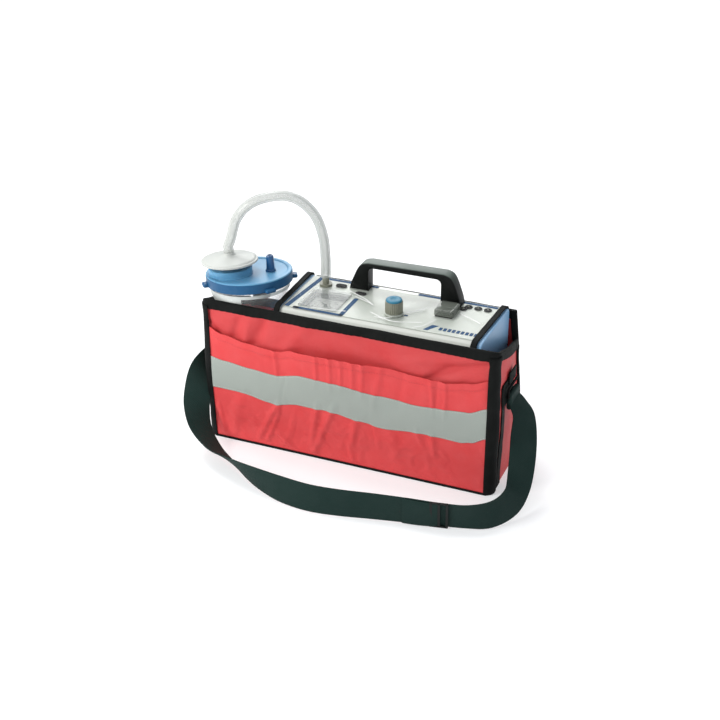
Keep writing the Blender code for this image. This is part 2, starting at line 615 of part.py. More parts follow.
def carry_handle():
    """Moulded arch with flared feet."""
    inner_half, foot_half, top_half = 0.0515, 0.0805, 0.0595
    foot_z = PANEL_Z + GAP
    side = []
    for i in range(9):
        a = math.radians(90 * i / 8)
        side.append((top_half + (foot_half - top_half) * math.cos(a) ** 1.1,
                     foot_z + (HANDLE_TOP - foot_z) * math.sin(a) ** 0.9))
    outer = [(HANDLE_X + x, z) for x, z in side] + [(HANDLE_X - x, z) for x, z in side[::-1]]
    r = 0.007
    arch = [(inner_half, foot_z)]
    arch += [(inner_half - r + r * math.cos(a), HANDLE_GRIP_Z - r + r * math.sin(a))
             for a in (math.radians(22.5 * i) for i in range(5))]
    inner = [(HANDLE_X + x, z) for x, z in arch] + [(HANDLE_X - x, z) for x, z in arch[::-1]]
    outline = outer + inner[::-1]
    handle = prism("carry_handle", outline, "Y", HANDLE_Y[0], HANDLE_Y[1], BLACK_PLASTIC)
    bevel = handle.modifiers.new("soft_edges", "BEVEL")
    bevel.width = 0.0028
    bevel.segments = 2
    bevel.limit_method = "ANGLE"
    bevel.angle_limit = math.radians(60)
    drills = [disc("cut_screw", 0.0022, 0.20, foot_z + 0.012, None, at=(HANDLE_X + s * 0.066, 0.043, 0), steps=12)
              for s in (-1, 1)]
    cut(handle, *drills)
    for s, name in ((-1, "left"), (1, "right")):
        profile = [(0, 0.2040), (0.0040, 0.2040), (0.0040, 0.2068), (0.0019, 0.2068), (0.0019, foot_z + 0.0115),
                   (0, foot_z + 0.0115)]
        turned(f"handle_screw_{name}", profile, STEEL, at=(HANDLE_X + s * 0.066, 0.043, 0), steps=12)


def gauge():
    """Vacuum gauge: open-topped housing, printed dial, needle on its spindle and clear lens."""
    half = GAUGE_SIDE / 2 - 0.0026
    x, y = GAUGE_AT
    z_top, z_low, wall = UNIT_Z[1] - 0.0040, 0.1915, 0.0020
    outline = rounded_outline((x - half, y - half), (x + half, y + half), [0.004] * 4, 3)
    well = rounded_outline((x - half + wall, y - half + wall), (x + half - wall, y + half - wall), [0.002] * 4, 3)
    housing = prism("gauge_housing", outline, "Z", z_low, z_top, BLACK_PLASTIC)
    cut(housing, prism("cut_well", well, "Z", z_low + wall, z_top + 0.01, None))
    inset = half - wall - 3 * GAP
    box("gauge_dial", (x - inset, y - inset, 0.2052), (x + inset, y + inset, 0.2062), WHITE_DIAL)
    needle = bmesh.new()
    arm = [(-0.0060, -0.0009), (0.0190, -0.0003), (0.0190, 0.0003), (-0.0060, 0.0009)]
    rows = [loop(needle, [Vector((u, v, z)) for u, v in arm]) for z in (0.2085, 0.2092)]
    skin(needle, *rows)
    for row in rows:
        needle.faces.new(row)
    bmesh.ops.rotate(needle, verts=needle.verts, matrix=Matrix.Rotation(math.radians(139), 3, "Z"))
    arm_obj = add_object("gauge_needle", needle, NEEDLE_DARK, at=(x, y, 0))
    join(arm_obj, disc("hub", 0.0022, 0.2066, 0.2098, None, at=(x, y, 0), steps=16))
    flange, body, lens_wall = GAUGE_SIDE / 2, half - 0.0004, 0.0015
    z_seat = PANEL_Z + GAP
    lens = prism("gauge_lens", rounded_outline((x - flange, y - flange), (x + flange, y + flange), [0.004] * 4, 3),
                 "Z", z_seat, z_seat + 0.0012, CLEAR_PLASTIC)
    sides = rounded_outline((x - body, y - body), (x + body, y + body), [0.004] * 4, 3)
    inside = rounded_outline((x - body + lens_wall, y - body + lens_wall), (x + body - lens_wall, y + body - lens_wall),
                             [0.003] * 4, 3)
    join(lens, prism("lens_skirt", sides, "Z", z_top + GAP, z_seat + 0.0006, None))
    cut(lens, prism("cut_lens", inside, "Z", z_top - 0.01, z_seat + 0.0002, None))


def panel_fittings():
    """Vacuum port, regulator with its knob, rocker switch, indicators, charging socket and fuse."""
    z1 = UNIT_Z[1]
    low = z1 - CASE_WALL - 0.006
    top = PANEL_Z + GAP
    barb = [(0.0026, low), (0.0050, low), (0.0050, top), (0.0088, top), (0.0088, top + 0.0035), (0.0046, top + 0.0035),
            (0.0046, top + 0.0075), (0.0052, top + 0.0080), (0.0042, top + 0.0125), (0.0026, top + 0.0125)]
    turned("vacuum_port", barb, BRASS, at=(*PORT_AT, 0), steps=16)
    disc_low = 0.1870
    turned("regulator_valve", [(0, disc_low), (0.0105, disc_low), (0.0105, z1 - CASE_WALL - GAP),
                               (0.0070, z1 - CASE_WALL - GAP), (0.0070, 0.2000), (0, 0.2000)],
           BRASS, at=(*KNOB_AT, 0), steps=24)
    base = top + 0.0002
    stem = [(0, 0.2006), (0.0036, 0.2006), (0.0036, base), (0.0128, base), (0.0128, base + 0.0028)]
    body = [(KNOB_R, base + 0.0036), (KNOB_R * 0.95, base + KNOB_H - 0.0030), (0, base + KNOB_H - 0.0030)]
    turned("regulator_knob", stem + body, KNOB_GREY, at=(*KNOB_AT, 0), steps=28)
    cap_low = base + KNOB_H - 0.0030 + GAP
    disc("knob_cap", KNOB_R * 0.90, cap_low, base + KNOB_H, CAP_BLUE, at=(*KNOB_AT, 0), steps=24)

    sx, sy = SWITCH_AT
    frame = box("switch_body", (sx - 0.0100, sy - 0.0130, 0.1930), (sx + 0.0100, sy + 0.0130, top), BLACK_PLASTIC)
    join(frame, box("bezel", (sx - 0.0122, sy - 0.0150, top), (sx + 0.0118, sy + 0.0143, top + 0.0014), None))
    cut(frame, box("cut_rocker", (sx - 0.0078, sy - 0.0114, 0.2040), (sx + 0.0078, sy + 0.0114, 0.25), None))
    rocker = [(-0.0102, -0.0005), (0.0, -0.0022), (0.0102, -0.0005), (0.0096, 0.0031), (0.0, 0.0014), (-0.0094, 0.0056),
              (-0.0102, 0.0050)]
    pivot_z = top - 0.0016
    prism("switch_rocker", rocker, "X", -0.0072, 0.0072, BLACK_PLASTIC, at=(sx, sy, pivot_z))
    shell_low = top + 0.0017
    cover_outer = rounded_outline((sx - 0.0135, sy - 0.0160), (sx + 0.0135, sy + 0.0160), [0.003] * 4, 3)
    cover_inner = rounded_outline((sx - 0.0124, sy - 0.0149), (sx + 0.0124, sy + 0.0149), [0.002] * 4, 3)
    cover = prism("switch_cover", cover_outer, "Z", shell_low, shell_low + 0.0085, SMOKE, bevel=0.0010)
    cut(cover, prism("cut_cover", cover_inner, "Z", shell_low - 0.01, shell_low + 0.0073, None))

    plate = box("indicator_block", (0.1255, 0.0260, 0.2020), (0.1670, 0.0430, 0.2035), BLACK_PLASTIC)
    for p in LED_AT:
        post = turned("post", [(0, 0.2030), (0.0030, 0.2030), (0.0030, top), (0.0040, top), (0.0040, top + 0.0010),
                               (0.0025, top + 0.0014), (0.0020, top + 0.0008), (0, top + 0.0008)], None,
                      at=(*p, 0), steps=10)
        join(plate, post)

    lid = rounded_outline((SOCKET_AT[0] - 0.0072, SOCKET_AT[1] - 0.0046), (SOCKET_AT[0] + 0.0072, SOCKET_AT[1] + 0.0046),
                          [0.0045] * 4, 4)
    socket = prism("charge_socket", lid, "Z", top, top + 0.0014, RUBBER)
    join(socket, disc("socket_body", 0.0036, 0.2020, top + 0.0007, None, at=(*SOCKET_AT, 0), steps=16))
    oval = rounded_outline((FUSE_AT[0] - 0.0070, FUSE_AT[1] - 0.0032), (FUSE_AT[0] + 0.0070, FUSE_AT[1] + 0.0032),
                           [0.0031] * 4, 4)
    fuse = prism("fuse_holder", oval, "Z", top, top + 0.0014, BLACK_PLASTIC)
    join(fuse, disc("fuse_body", 0.0024, 0.1960, top + 0.0007, None, at=(*FUSE_AT, 0), steps=12))


# ------------------------------------------------------------------ pump train inside the casing
SHAFT = Vector((0.0, 0.0, 0.1150))            # motor axis, along X
THROW = 0.0015                                # eccentric's offset
ROD_X = -0.0250


def pump_train():
    floor = UNIT_Z[0] + CASE_WALL + GAP
    box("battery", (-0.0850, -0.0450, floor), (0.0500, 0.0220, floor + 0.0600), BATTERY_GREY, bevel=0.002)
    prism("battery_strap", [(-0.0490, floor), (-0.0455, floor), (-0.0455, floor + 0.0608),
                                    (0.0225, floor + 0.0608), (0.0225, floor), (0.0260, floor),
                                    (0.0260, floor + 0.0625), (-0.0490, floor + 0.0625)],
                  "X", -0.0250, -0.0100, STEEL)
    box("circuit_board", (0.0700, 0.0480, 0.0300), (0.1650, 0.0496, 0.1700), BOARD_GREEN)

    washer("motor_can", 0.0170, 0.0185, 0.0250, 0.0850, STEEL, at=(0, SHAFT.y, SHAFT.z), steps=28, axis="X")
    bracket = box("pump_bracket", (-0.0020, -0.0300, 0.0820), (0.0010, 0.0300, 0.1465), STEEL)
    join(bracket, box("shelf", (-0.0020, -0.0300, 0.0800), (0.0900, 0.0300, 0.0830), None))
    join(bracket, box("seat", (ROD_X - 0.0215, -0.0215, 0.1430), (0.0000, 0.0215, 0.1465), None))
    cut(bracket, disc("cut_shaft", 0.0060, -0.02, 0.02, None, at=(0, SHAFT.y, SHAFT.z), steps=16, axis="X"),
        disc("cut_crown", 0.0135, 0.13, 0.16, None, at=(ROD_X, 0, 0), steps=16))
    shaft = [(0, -0.0190), (0.0025, -0.0190), (0.0025, 0.0270), (0.0155, 0.0270), (0.0155, 0.0820),
             (0.0025, 0.0820), (0.0025, 0.0900), (0.0130, 0.0900), (0.0130, 0.0940), (0, 0.0940)]
    rotor = turned("motor_rotor", shaft, STEEL, at=(0, SHAFT.y, SHAFT.z), steps=16, axis="X")
    join(rotor, disc("eccentric", 0.0060, -0.0300, -0.0180, None, at=(0, SHAFT.y, SHAFT.z + THROW), steps=20,
                     axis="X"))
    rod_z = SHAFT.z + THROW
    rod = washer("con_rod", 0.00635, 0.0105, ROD_X - 0.0035, ROD_X + 0.0035, CASE_WHITE,
                 at=(0, SHAFT.y, rod_z), steps=20, axis="X")
    join(rod, box("shank", (ROD_X - 0.0030, -0.0035, rod_z + 0.0080), (ROD_X + 0.0030, 0.0035, rod_z + 0.0300), None),
         disc("crown", 0.0100, rod_z + 0.0285, rod_z + 0.0310, None, at=(ROD_X, 0, 0), steps=20))
    crown_top = rod_z + 0.0310
    turned("diaphragm", [(0, crown_top + GAP), (0.0100, crown_top + GAP), (0.0130, crown_top - 0.0005),
                         (0.0205, crown_top - 0.0005), (0.0205, crown_top + 0.0010), (0.0130, crown_top + 0.0010),
                         (0.0100, crown_top + 0.0020), (0, crown_top + 0.0020)], RUBBER, at=(ROD_X, 0, 0), steps=24)
    head_low = crown_top + 0.0010 + GAP
    turned("pump_head", [(0.0145, head_low), (0.0205, head_low), (0.0205, head_low + 0.0240), (0, head_low + 0.0240),
                         (0, head_low + 0.0120), (0.0145, head_low + 0.0055)], CASE_WHITE, at=(ROD_X, 0, 0), steps=24)
    turned("exhaust_silencer", [(0, 0.0900), (0.0110, 0.0900), (0.0110, 0.1250), (0, 0.1250)], BRASS,
           at=(-0.0750, 0.0400, 0), steps=16)
    tube("suction_tube", [(*PORT_AT, 0.2055), (PORT_AT[0], PORT_AT[1] + 0.002, 0.2000),
                          (PORT_AT[0] + 0.010, PORT_AT[1] + 0.008, 0.1880), (-0.0480, 0.0350, 0.1810),
                          (-0.0330, 0.0250, 0.1770), (-0.0250, 0.0180, 0.1755)],
         0.0022, HOSE_CLEAR, steps=2)


# ------------------------------------------------------------------ collection canister


def canister():
    """Jar, lid with its ports, float valve, filter and the vacuum hose, built on the leaning jar axis."""
    wall = 0.0018
    neck_low, neck_top = LID_TOP - 0.0240, LID_TOP - 0.0050
    outer = [(0.0370, 0.0), (0.0390, 0.0020), (0.0490, 0.1900), (0.0535, neck_low), (0.0535, neck_top)]
    inner = [(r - wall, z + (wall if i < 2 else 0.0)) for i, (r, z) in enumerate(outer)]
    turned("jar", [(0, 0.0)] + outer + inner[::-1] + [(0, wall)], CLEAR_PLASTIC, CANISTER, steps=28)

    z = LID_TOP
    seal_low = neck_top + GAP
    washer("lid_seal", 0.0512, 0.0535, seal_low, seal_low + 0.0018, RUBBER, CANISTER, steps=32)
    roof = seal_low + 0.0018 + GAP
    rim = [(0, roof), (0.0555, roof), (0.0555, z - 0.0150), (LID_R - 0.0006, z - 0.0150), (LID_R, z - 0.0130),
           (LID_R, z - 0.0015), (LID_R - 0.0015, z), (0.0540, z), (0.0530, z - 0.0010), (0, z - 0.0010)]
    lid = turned("jar_lid", rim, LID_BLUE, CANISTER, steps=36)
    boss_z = z + 0.0085
    join(lid, disc("boss", 0.0300, z - 0.0020, boss_z, None, CANISTER, (*FILTER_AT, 0), 24))
    for angle in (219, 30, 324):
        tab = box("tab", (LID_R - 0.0040, -0.0055, z - 0.0150), (LID_R + 0.0065, 0.0055, z - 0.0105), None, CANISTER)
        tab.rotation_euler = (0, 0, math.radians(angle))
        join(lid, tab)
    cut(lid, disc("cut_spigot", 0.0043, z - 0.02, z + 0.01, None, CANISTER, (*SPIGOT_AT, 0), 16),
        disc("cut_filter", 0.0043, z - 0.02, boss_z + 0.01, None, CANISTER, (*FILTER_AT, 0), 16))
    spigot = [(0.0028, roof - 0.0100), (0.0040, roof - 0.0100), (0.0040, z - 0.0010 + GAP),
              (0.0062, z - 0.0010 + GAP), (0.0056, z + 0.0030), (0.0052, z + 0.0200), (0.0040, z + 0.0218),
              (0.0028, z + 0.0218)]
    turned("patient_port", spigot, SPIGOT_BLUE, CANISTER, (*SPIGOT_AT, 0), 20)

    cage_top = roof - GAP
    cage = turned("float_cage", [(0.0110, cage_top), (0.0125, cage_top), (0.0125, cage_top - 0.0420),
                                 (0, cage_top - 0.0420), (0, cage_top - 0.0405), (0.0110, cage_top - 0.0405)],
                  CASE_WHITE, CANISTER, (*FLOAT_AT, 0), 20)
    cut(cage, box("cut_window", (-0.020, -0.0050, cage_top - 0.0360), (0.020, 0.0050, cage_top - 0.0080), None,
                  CANISTER, (*FLOAT_AT, 0)))
    ball_z, ball_r = cage_top - 0.0320, 0.0080
    arc = [math.radians(-90 + 180 * i / 10) for i in range(11)]
    turned("float_ball", [(ball_r * math.cos(a) if 0 < i < 10 else 0.0, ball_z + ball_r * math.sin(a))
                          for i, a in enumerate(arc)], SPIGOT_BLUE, CANISTER, (*FLOAT_AT, 0), 16)

    rim_z = z + 0.0180
    at = (*FILTER_AT, 0)
    lower = [(0.0028, roof - 0.0040), (0.0040, roof - 0.0040), (0.0040, boss_z + GAP), (0.0075, boss_z + GAP),
             (0.0100, rim_z - 0.0060), (0.0300, rim_z - 0.0035), (FILTER_R, rim_z - 0.0012),
             (FILTER_R, rim_z - GAP / 2), (0.0360, rim_z - GAP / 2), (0.0290, rim_z - 0.0024), (0.0028, rim_z - 0.0040)]
    turned("filter_lower", lower, FILTER_WHITE, CANISTER, at, 28)
    upper = [(0.0360, rim_z + GAP / 2), (FILTER_R, rim_z + GAP / 2), (FILTER_R, rim_z + 0.0012),
             (0.0300, rim_z + 0.0038), (0.0085, rim_z + 0.0072), (0.0070, rim_z + 0.0085), (0.0070, rim_z + 0.0105),
             (0.0026, rim_z + 0.0105), (0.0026, rim_z + 0.0060), (0.0290, rim_z + 0.0026)]
    turned("filter_upper", upper, FILTER_WHITE, CANISTER, at, 28)
    disc("filter_membrane", 0.0270, rim_z - 0.0006, rim_z + 0.0002, WHITE_DIAL, CANISTER, at, 24)

    nipple_top = rim_z + 0.0105 + GAP
    start = [CANISTER.matrix_local @ Vector((*FILTER_AT, nipple_top + rise)) for rise in (0.0, 0.005, 0.010)]
    route = start + [Vector(p) for p in HOSE_ROUTE]
    tube("vacuum_hose", route, HOSE_D / 2, HOSE_CLEAR, steps=3, resolution=2)


bpy.context.view_layer.update()
bag()
casing()
carry_handle()
gauge()
panel_fittings()
pump_train()
canister()
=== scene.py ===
"""Looks of a portable suction pump: soft carry bag, panel unit and collection canister.

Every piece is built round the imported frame, in metres.  Bag and unit pieces are worked out from the bag's
own centre, and canister pieces along the jar's leaning axis.
"""
import json
import math

import bmesh
import bpy
from mathutils import Matrix, Vector, noise


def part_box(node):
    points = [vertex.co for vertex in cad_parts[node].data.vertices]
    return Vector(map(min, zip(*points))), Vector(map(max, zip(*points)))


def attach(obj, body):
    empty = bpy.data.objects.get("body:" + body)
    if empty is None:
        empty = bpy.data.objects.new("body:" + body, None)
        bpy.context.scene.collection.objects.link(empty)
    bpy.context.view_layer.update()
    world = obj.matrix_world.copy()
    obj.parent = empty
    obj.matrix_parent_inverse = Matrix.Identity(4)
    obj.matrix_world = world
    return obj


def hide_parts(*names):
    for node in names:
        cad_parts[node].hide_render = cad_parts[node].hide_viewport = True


bl_info = {
    "name": "Portable Suction Pump",
    "version": (1, 0, 0),
    "blender": (4, 5, 0),
    "location": "View3D > Sidebar > Suction Pump",
    "description": "Carry bag, panel unit and collection canister built round a packed frame",
    "category": "Object",
}

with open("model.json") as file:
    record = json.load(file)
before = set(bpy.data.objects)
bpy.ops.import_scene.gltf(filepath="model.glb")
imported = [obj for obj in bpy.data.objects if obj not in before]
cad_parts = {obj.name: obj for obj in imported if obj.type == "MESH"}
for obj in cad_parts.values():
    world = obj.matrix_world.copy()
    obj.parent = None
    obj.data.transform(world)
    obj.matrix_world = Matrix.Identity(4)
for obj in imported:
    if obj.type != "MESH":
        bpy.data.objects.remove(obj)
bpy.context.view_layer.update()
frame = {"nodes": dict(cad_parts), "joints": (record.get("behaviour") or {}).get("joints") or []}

# ------------------------------------------------------------------ places taken from the frame
TAPE_REACH = 0.0018                                      # a packed corner tape stands this far off the wall
LEFT_TAPE, RIGHT_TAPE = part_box("corner_binding_left"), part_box("corner_binding_right")
BAG_LOW, BAG_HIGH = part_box("bag_body")
CENTRE = Vector(((LEFT_TAPE[0].x + RIGHT_TAPE[1].x) / 2, (BAG_LOW.y + BAG_HIGH.y) / 2, 0.0))
HALF_L = (RIGHT_TAPE[1].x - LEFT_TAPE[0].x) / 2 - TAPE_REACH
HALF_D = (BAG_HIGH.y - BAG_LOW.y) / 2
FRONT_H = BAG_HIGH.z


def from_bag(node):
    """A node's box measured from the bag's centre."""
    low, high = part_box(node)
    return low - CENTRE, high - CENTRE


def middle(node):
    """Middle of a node's box, measured from the bag's centre."""
    low, high = from_bag(node)
    return (low + high) / 2


SLEEVE_LOW, SLEEVE_HIGH = from_bag("case_sleeve")
LABEL_LOW, LABEL_HIGH = from_bag("panel_label")
PANEL_Z = LABEL_HIGH.z

# ------------------------------------------------------------------ places in the canister
JAR_AXIS = Vector(next(j["axis"] for j in frame["joints"] if j["name"] == "jar_lift")).normalized()


def ring_centre(node):
    """Centre of the lowest ring of a node turned about the jar's axis."""
    points = [v.co for v in frame["nodes"][node].data.vertices]
    levels = [p.dot(JAR_AXIS) for p in points]
    edge = min(levels)
    ring = [p for p, level in zip(points, levels) if abs(level - edge) < 0.0002]
    unique = {tuple(round(c, 5) for c in p) for p in ring}
    return sum((Vector(p) for p in unique), Vector()) / len(unique)


JAR_FOOT = ring_centre("jar")
JAR_LEAN = Vector((0, 0, 1)).rotation_difference(JAR_AXIS)
JAR_FRAME = Matrix.Translation(JAR_FOOT) @ JAR_LEAN.to_matrix().to_4x4()


# ------------------------------------------------------------------ bag dimensions
CORNER_R = 0.010                                         # radius of the upright corners
WALL = 0.0025                                            # thickness of the cloth wall
BAY_RIM = 0.157                                          # rim height at the back of the canister bay
BACK_RIM = 0.208                                         # rim height behind the unit
END_RIM = 0.166                                          # rim height at the back of the right end
LEFT_BULGE = 0.0115                                      # how far the jar pushes the left end out
FRONT_SPREAD = 0.0035                                    # the front's left edge leans out this far
RIGHT_PULL = 0.0130                                      # the right end's back is pulled in this far
SIDE_X = 2 * (HALF_L - CORNER_R)
SIDE_Y = 2 * (HALF_D - CORNER_R)
QUARTER = math.pi * CORNER_R / 2
PERIMETER = 2 * SIDE_X + 2 * SIDE_Y + 4 * QUARTER

# Upper edge of the pocket and both edges of the reflective tape: (x, height) along the front.
POCKET_TOP = [
    (-0.201, 0.1740), (-0.177, 0.1670), (-0.145, 0.1610), (-0.108, 0.1575), (-0.096, 0.1575),
    (-0.077, 0.1635), (-0.035, 0.1660), (0.010, 0.1670), (0.051, 0.1665), (0.100, 0.1610),
    (0.144, 0.1600), (0.175, 0.1650), (0.201, 0.1725),
]
BAND_TOP = [
    (-0.201, 0.1290), (-0.178, 0.1255), (-0.140, 0.1215), (-0.103, 0.1190), (-0.060, 0.1275),
    (-0.015, 0.1265), (0.052, 0.1205), (0.102, 0.1170), (0.131, 0.1185), (0.173, 0.1215),
    (0.201, 0.1320),
]
BAND_LOW = [
    (-0.201, 0.0805), (-0.165, 0.0805), (-0.104, 0.0730), (-0.068, 0.0795), (-0.026, 0.0805),
    (0.020, 0.0750), (0.052, 0.0710), (0.112, 0.0755), (0.164, 0.0740), (0.179, 0.0770),
    (0.201, 0.0870),
]

# Creases as (x, z, x, z, width, height): positive stands out, negative sinks in.
POCKET_FOLDS = [
    (-0.105, 0.066, -0.126, 0.026, 0.0050, 0.0021), (-0.101, 0.057, -0.115, 0.022, 0.0040, 0.0014),
    (-0.099, 0.026, -0.076, 0.006, 0.0045, 0.0020), (-0.042, 0.078, -0.050, 0.030, 0.0050, 0.0019),
    (-0.021, 0.076, -0.045, 0.016, 0.0055, 0.0020), (0.006, 0.034, 0.012, 0.006, 0.0045, 0.0014),
    (-0.145, 0.079, -0.136, 0.058, 0.0050, -0.0013), (-0.192, 0.044, -0.186, 0.006, 0.0050, 0.0012),
    (-0.088, 0.070, -0.094, 0.040, 0.0070, -0.0018), (-0.066, 0.060, -0.074, 0.022, 0.0070, -0.0013),
    (-0.103, 0.158, -0.101, 0.124, 0.0030, 0.0015), (-0.091, 0.158, -0.092, 0.126, 0.0090, -0.0012),
    (-0.088, 0.118, -0.095, 0.084, 0.0030, -0.0007), (-0.038, 0.166, -0.040, 0.130, 0.0030, 0.0016),
    (-0.018, 0.167, -0.020, 0.126, 0.0032, 0.0017), (-0.002, 0.168, -0.004, 0.130, 0.0030, 0.0013),
    (0.015, 0.166, 0.013, 0.130, 0.0034, 0.0016), (0.029, 0.164, 0.026, 0.126, 0.0032, 0.0014),
    (0.054, 0.162, 0.044, 0.116, 0.0050, 0.0014), (0.083, 0.160, 0.078, 0.120, 0.0060, -0.0012),
    (0.123, 0.157, 0.126, 0.118, 0.0030, 0.0016), (0.132, 0.157, 0.129, 0.122, 0.0030, -0.0012),
    (0.143, 0.157, 0.142, 0.118, 0.0032, 0.0015), (0.103, 0.076, 0.112, 0.058, 0.0045, 0.0012),
    (0.125, 0.074, 0.129, 0.050, 0.0045, 0.0014), (0.016, 0.072, 0.011, 0.040, 0.0050, 0.0014),
    (0.036, 0.070, 0.041, 0.010, 0.0060, -0.0012), (0.066, 0.060, 0.084, 0.016, 0.0080, 0.0010),
    (0.150, 0.064, 0.178, 0.014, 0.0100, -0.0012), (-0.160, 0.060, -0.172, 0.012, 0.0080, 0.0012),
    (-0.030, 0.046, -0.010, 0.008, 0.0050, -0.0012),
]
FRONT_FOLDS = [
    (0.122, 0.162, 0.150, 0.177, 0.0065, -0.0026), (0.150, 0.177, 0.197, 0.194, 0.0070, -0.0022),
    (0.110, 0.184, 0.196, 0.202, 0.0070, 0.0016), (-0.157, 0.188, -0.165, 0.164, 0.0060, -0.0022),
    (-0.121, 0.190, -0.134, 0.162, 0.0075, -0.0028), (-0.199, 0.181, -0.188, 0.166, 0.0040, -0.0018),
    (-0.142, 0.190, -0.148, 0.166, 0.0055, 0.0014), (-0.060, 0.196, -0.085, 0.166, 0.0090, 0.0012),
    (0.020, 0.198, 0.060, 0.174, 0.0090, -0.0010), (0.070, 0.176, 0.112, 0.168, 0.0070, 0.0012),
]

# ------------------------------------------------------------------ soft routes
# The hose follows the part's route; the strap's is the part's with its loops eased.
HOSE_OUTSIDE = 0.014
HOSE_ROUTE = [
    (-0.1885, -0.0226, 0.2895), (-0.1822, -0.0198, 0.3133), (-0.1708, -0.0148, 0.3311),
    (-0.1539, -0.0074, 0.3432), (-0.1302, 0.0031, 0.3491), (-0.1115, 0.0113, 0.3469),
    (-0.0953, 0.0185, 0.3357), (-0.0816, 0.0245, 0.3163), (-0.0737, 0.0280, 0.2883),
    (-0.0715, 0.0290, 0.2598), (-0.0715, 0.0290, 0.2400), (-0.0715, 0.0290, 0.2300),
]
STRAP_W = 0.038
STRAP_T = 0.0017
SLIDER_STEP = 60                                         # step of the strap's route where its slider sits
# (place, direction across the webbing) along the strap, from the right ring to the left one.
STRAP_ROUTE = [
    ((0.2136, -0.0040, 0.1225), (0, -1, 0)), ((0.2142, -0.0041, 0.1180), (-0.02, -1, 0)),
    ((0.2225, -0.0070, 0.1110), (-0.12, -1, 0)), ((0.2340, -0.0165, 0.0990), (-0.45, -0.90, 0.05)),
    ((0.2400, -0.0340, 0.0770), (-0.75, -0.65, 0.10)),
    ((0.2450, -0.0540, 0.0530), (-0.80, -0.50, 0.30)),
    ((0.2485, -0.0790, 0.0315), (-0.70, -0.25, 0.65)), ((0.2470, -0.1080, 0.0228), (-0.45, 0, 0.90)),
    ((0.2320, -0.1385, 0.0200), (-0.10, 0.10, 1)), ((0.2050, -0.1555, 0.0200), (0, -0.10, 1)),
    ((0.1700, -0.1640, 0.0200), (0, -0.10, 1)), ((0.1300, -0.1710, 0.0200), (0, 0, 1)),
    ((0.0850, -0.1795, 0.0200), (0, 0.08, 1)), ((0.0400, -0.1890, 0.0200), (0, 0.15, 1)),
    ((0.0000, -0.1935, 0.0200), (0, 0.20, 1)), ((-0.0400, -0.1895, 0.0200), (0, 0.15, 1)),
    ((-0.0800, -0.1790, 0.0200), (0, -0.15, 1)), ((-0.1150, -0.1645, 0.0190), (0.05, -0.50, 0.87)),
    ((-0.1450, -0.1475, 0.0180), (0.20, -0.80, 0.55)),
    ((-0.1750, -0.1310, 0.0215), (-0.05, -0.90, 0.40)),
    ((-0.2030, -0.1120, 0.0350), (-0.35, -0.85, 0.25)),
    ((-0.2185, -0.0930, 0.0560), (-0.60, -0.75, 0.10)), ((-0.2275, -0.0700, 0.0730), (-0.65, -0.75, 0)),
    ((-0.2325, -0.0480, 0.0865), (-0.60, -0.70, 0.25)),
    ((-0.2315, -0.0280, 0.0950), (-0.40, -0.75, 0.50)),
    ((-0.2288, -0.0135, 0.1010), (-0.18, -0.90, 0.40)), ((-0.2264, -0.0062, 0.1080), (-0.06, -1, 0.15)),
    ((-0.2249, -0.0041, 0.1155), (0, -1, 0)), ((-0.2247, -0.0040, 0.1225), (0, -1, 0)),
]

# ------------------------------------------------------------------ unit and canister dimensions
HANDLE_X = middle("carry_handle").x
CASE_Y = (SLEEVE_LOW.y, SLEEVE_HIGH.y)
CASE_TOP = SLEEVE_HIGH.z
PORT_AT = middle("vacuum_port").xy
KNOB_AT = middle("knob_cap").xy
LED_AT = [(0.1290, 0.0300), (0.1340, 0.0380), (0.1475, 0.0380), (0.1610, 0.0380)]
LID_TOP = 0.23196                                        # height of the lid's rim along the jar's axis
FILTER_AT = (-0.0205, -0.0150)
SPIGOT_AT = (0.0286, 0.0099)
NIPPLE_TOP = LID_TOP + 0.0288


# ------------------------------------------------------------------ shaping helpers
def clamp(value, low=0.0, high=1.0):
    """Value held between two bounds."""
    return min(max(value, low), high)


def ease(value):
    """Smooth step from 0 to 1."""
    t = clamp(value)
    return t * t * (3 - 2 * t)


def interp(points, x):
    """Height of a smooth line through (x, height) points."""
    for (x0, z0), (x1, z1) in zip(points, points[1:]):
        if x <= x1:
            return z0 + (z1 - z0) * ease((x - x0) / (x1 - x0))
    return points[-1][1]


def smooth_curve(points, steps):
    """Points of a smooth curve through the given ones, steps for each span."""
    points = [Vector(p) for p in points]
    ends = [points[0] * 2 - points[1]] + points + [points[-1] * 2 - points[-2]]
    result = []
    for i in range(1, len(ends) - 2):
        a, b, c, d = ends[i - 1:i + 3]
        for k in range(steps):
            t = k / steps
            result.append(0.5 * (2 * b + (c - a) * t + (2 * a - 5 * b + 4 * c - d) * t ** 2
                                 + (3 * b - a - 3 * c + d) * t ** 3))
    return result + [points[-1]]


def heading(line, i):
    """Direction of a line of points at its i-th one."""
    return (line[min(i + 1, len(line) - 1)] - line[max(i - 1, 0)]).normalized()


def ripple(x, z, size, seed=0.0):
    """Smooth random swell of a cloth panel, between about -1 and 1."""
    return noise.noise(Vector((x / size, z / size, seed)))


def fold_height(x, z, folds):
    """Sum of the creases at a point of a cloth panel; each fades along its length and across it."""
    total = 0.0
    for x0, z0, x1, z1, width, height in folds:
        dx, dz = x1 - x0, z1 - z0
        length2 = dx * dx + dz * dz
        t = ((x - x0) * dx + (z - z0) * dz) / length2
        if not -0.5 < t < 1.5:
            continue
        nearest = clamp(t)
        away = math.hypot(x - x0 - dx * t, z - z0 - dz * t)
        fade = ease(1 - abs(t - nearest) / 0.5)
        total += height * fade * math.exp(-(away / width) ** 2)
    return total


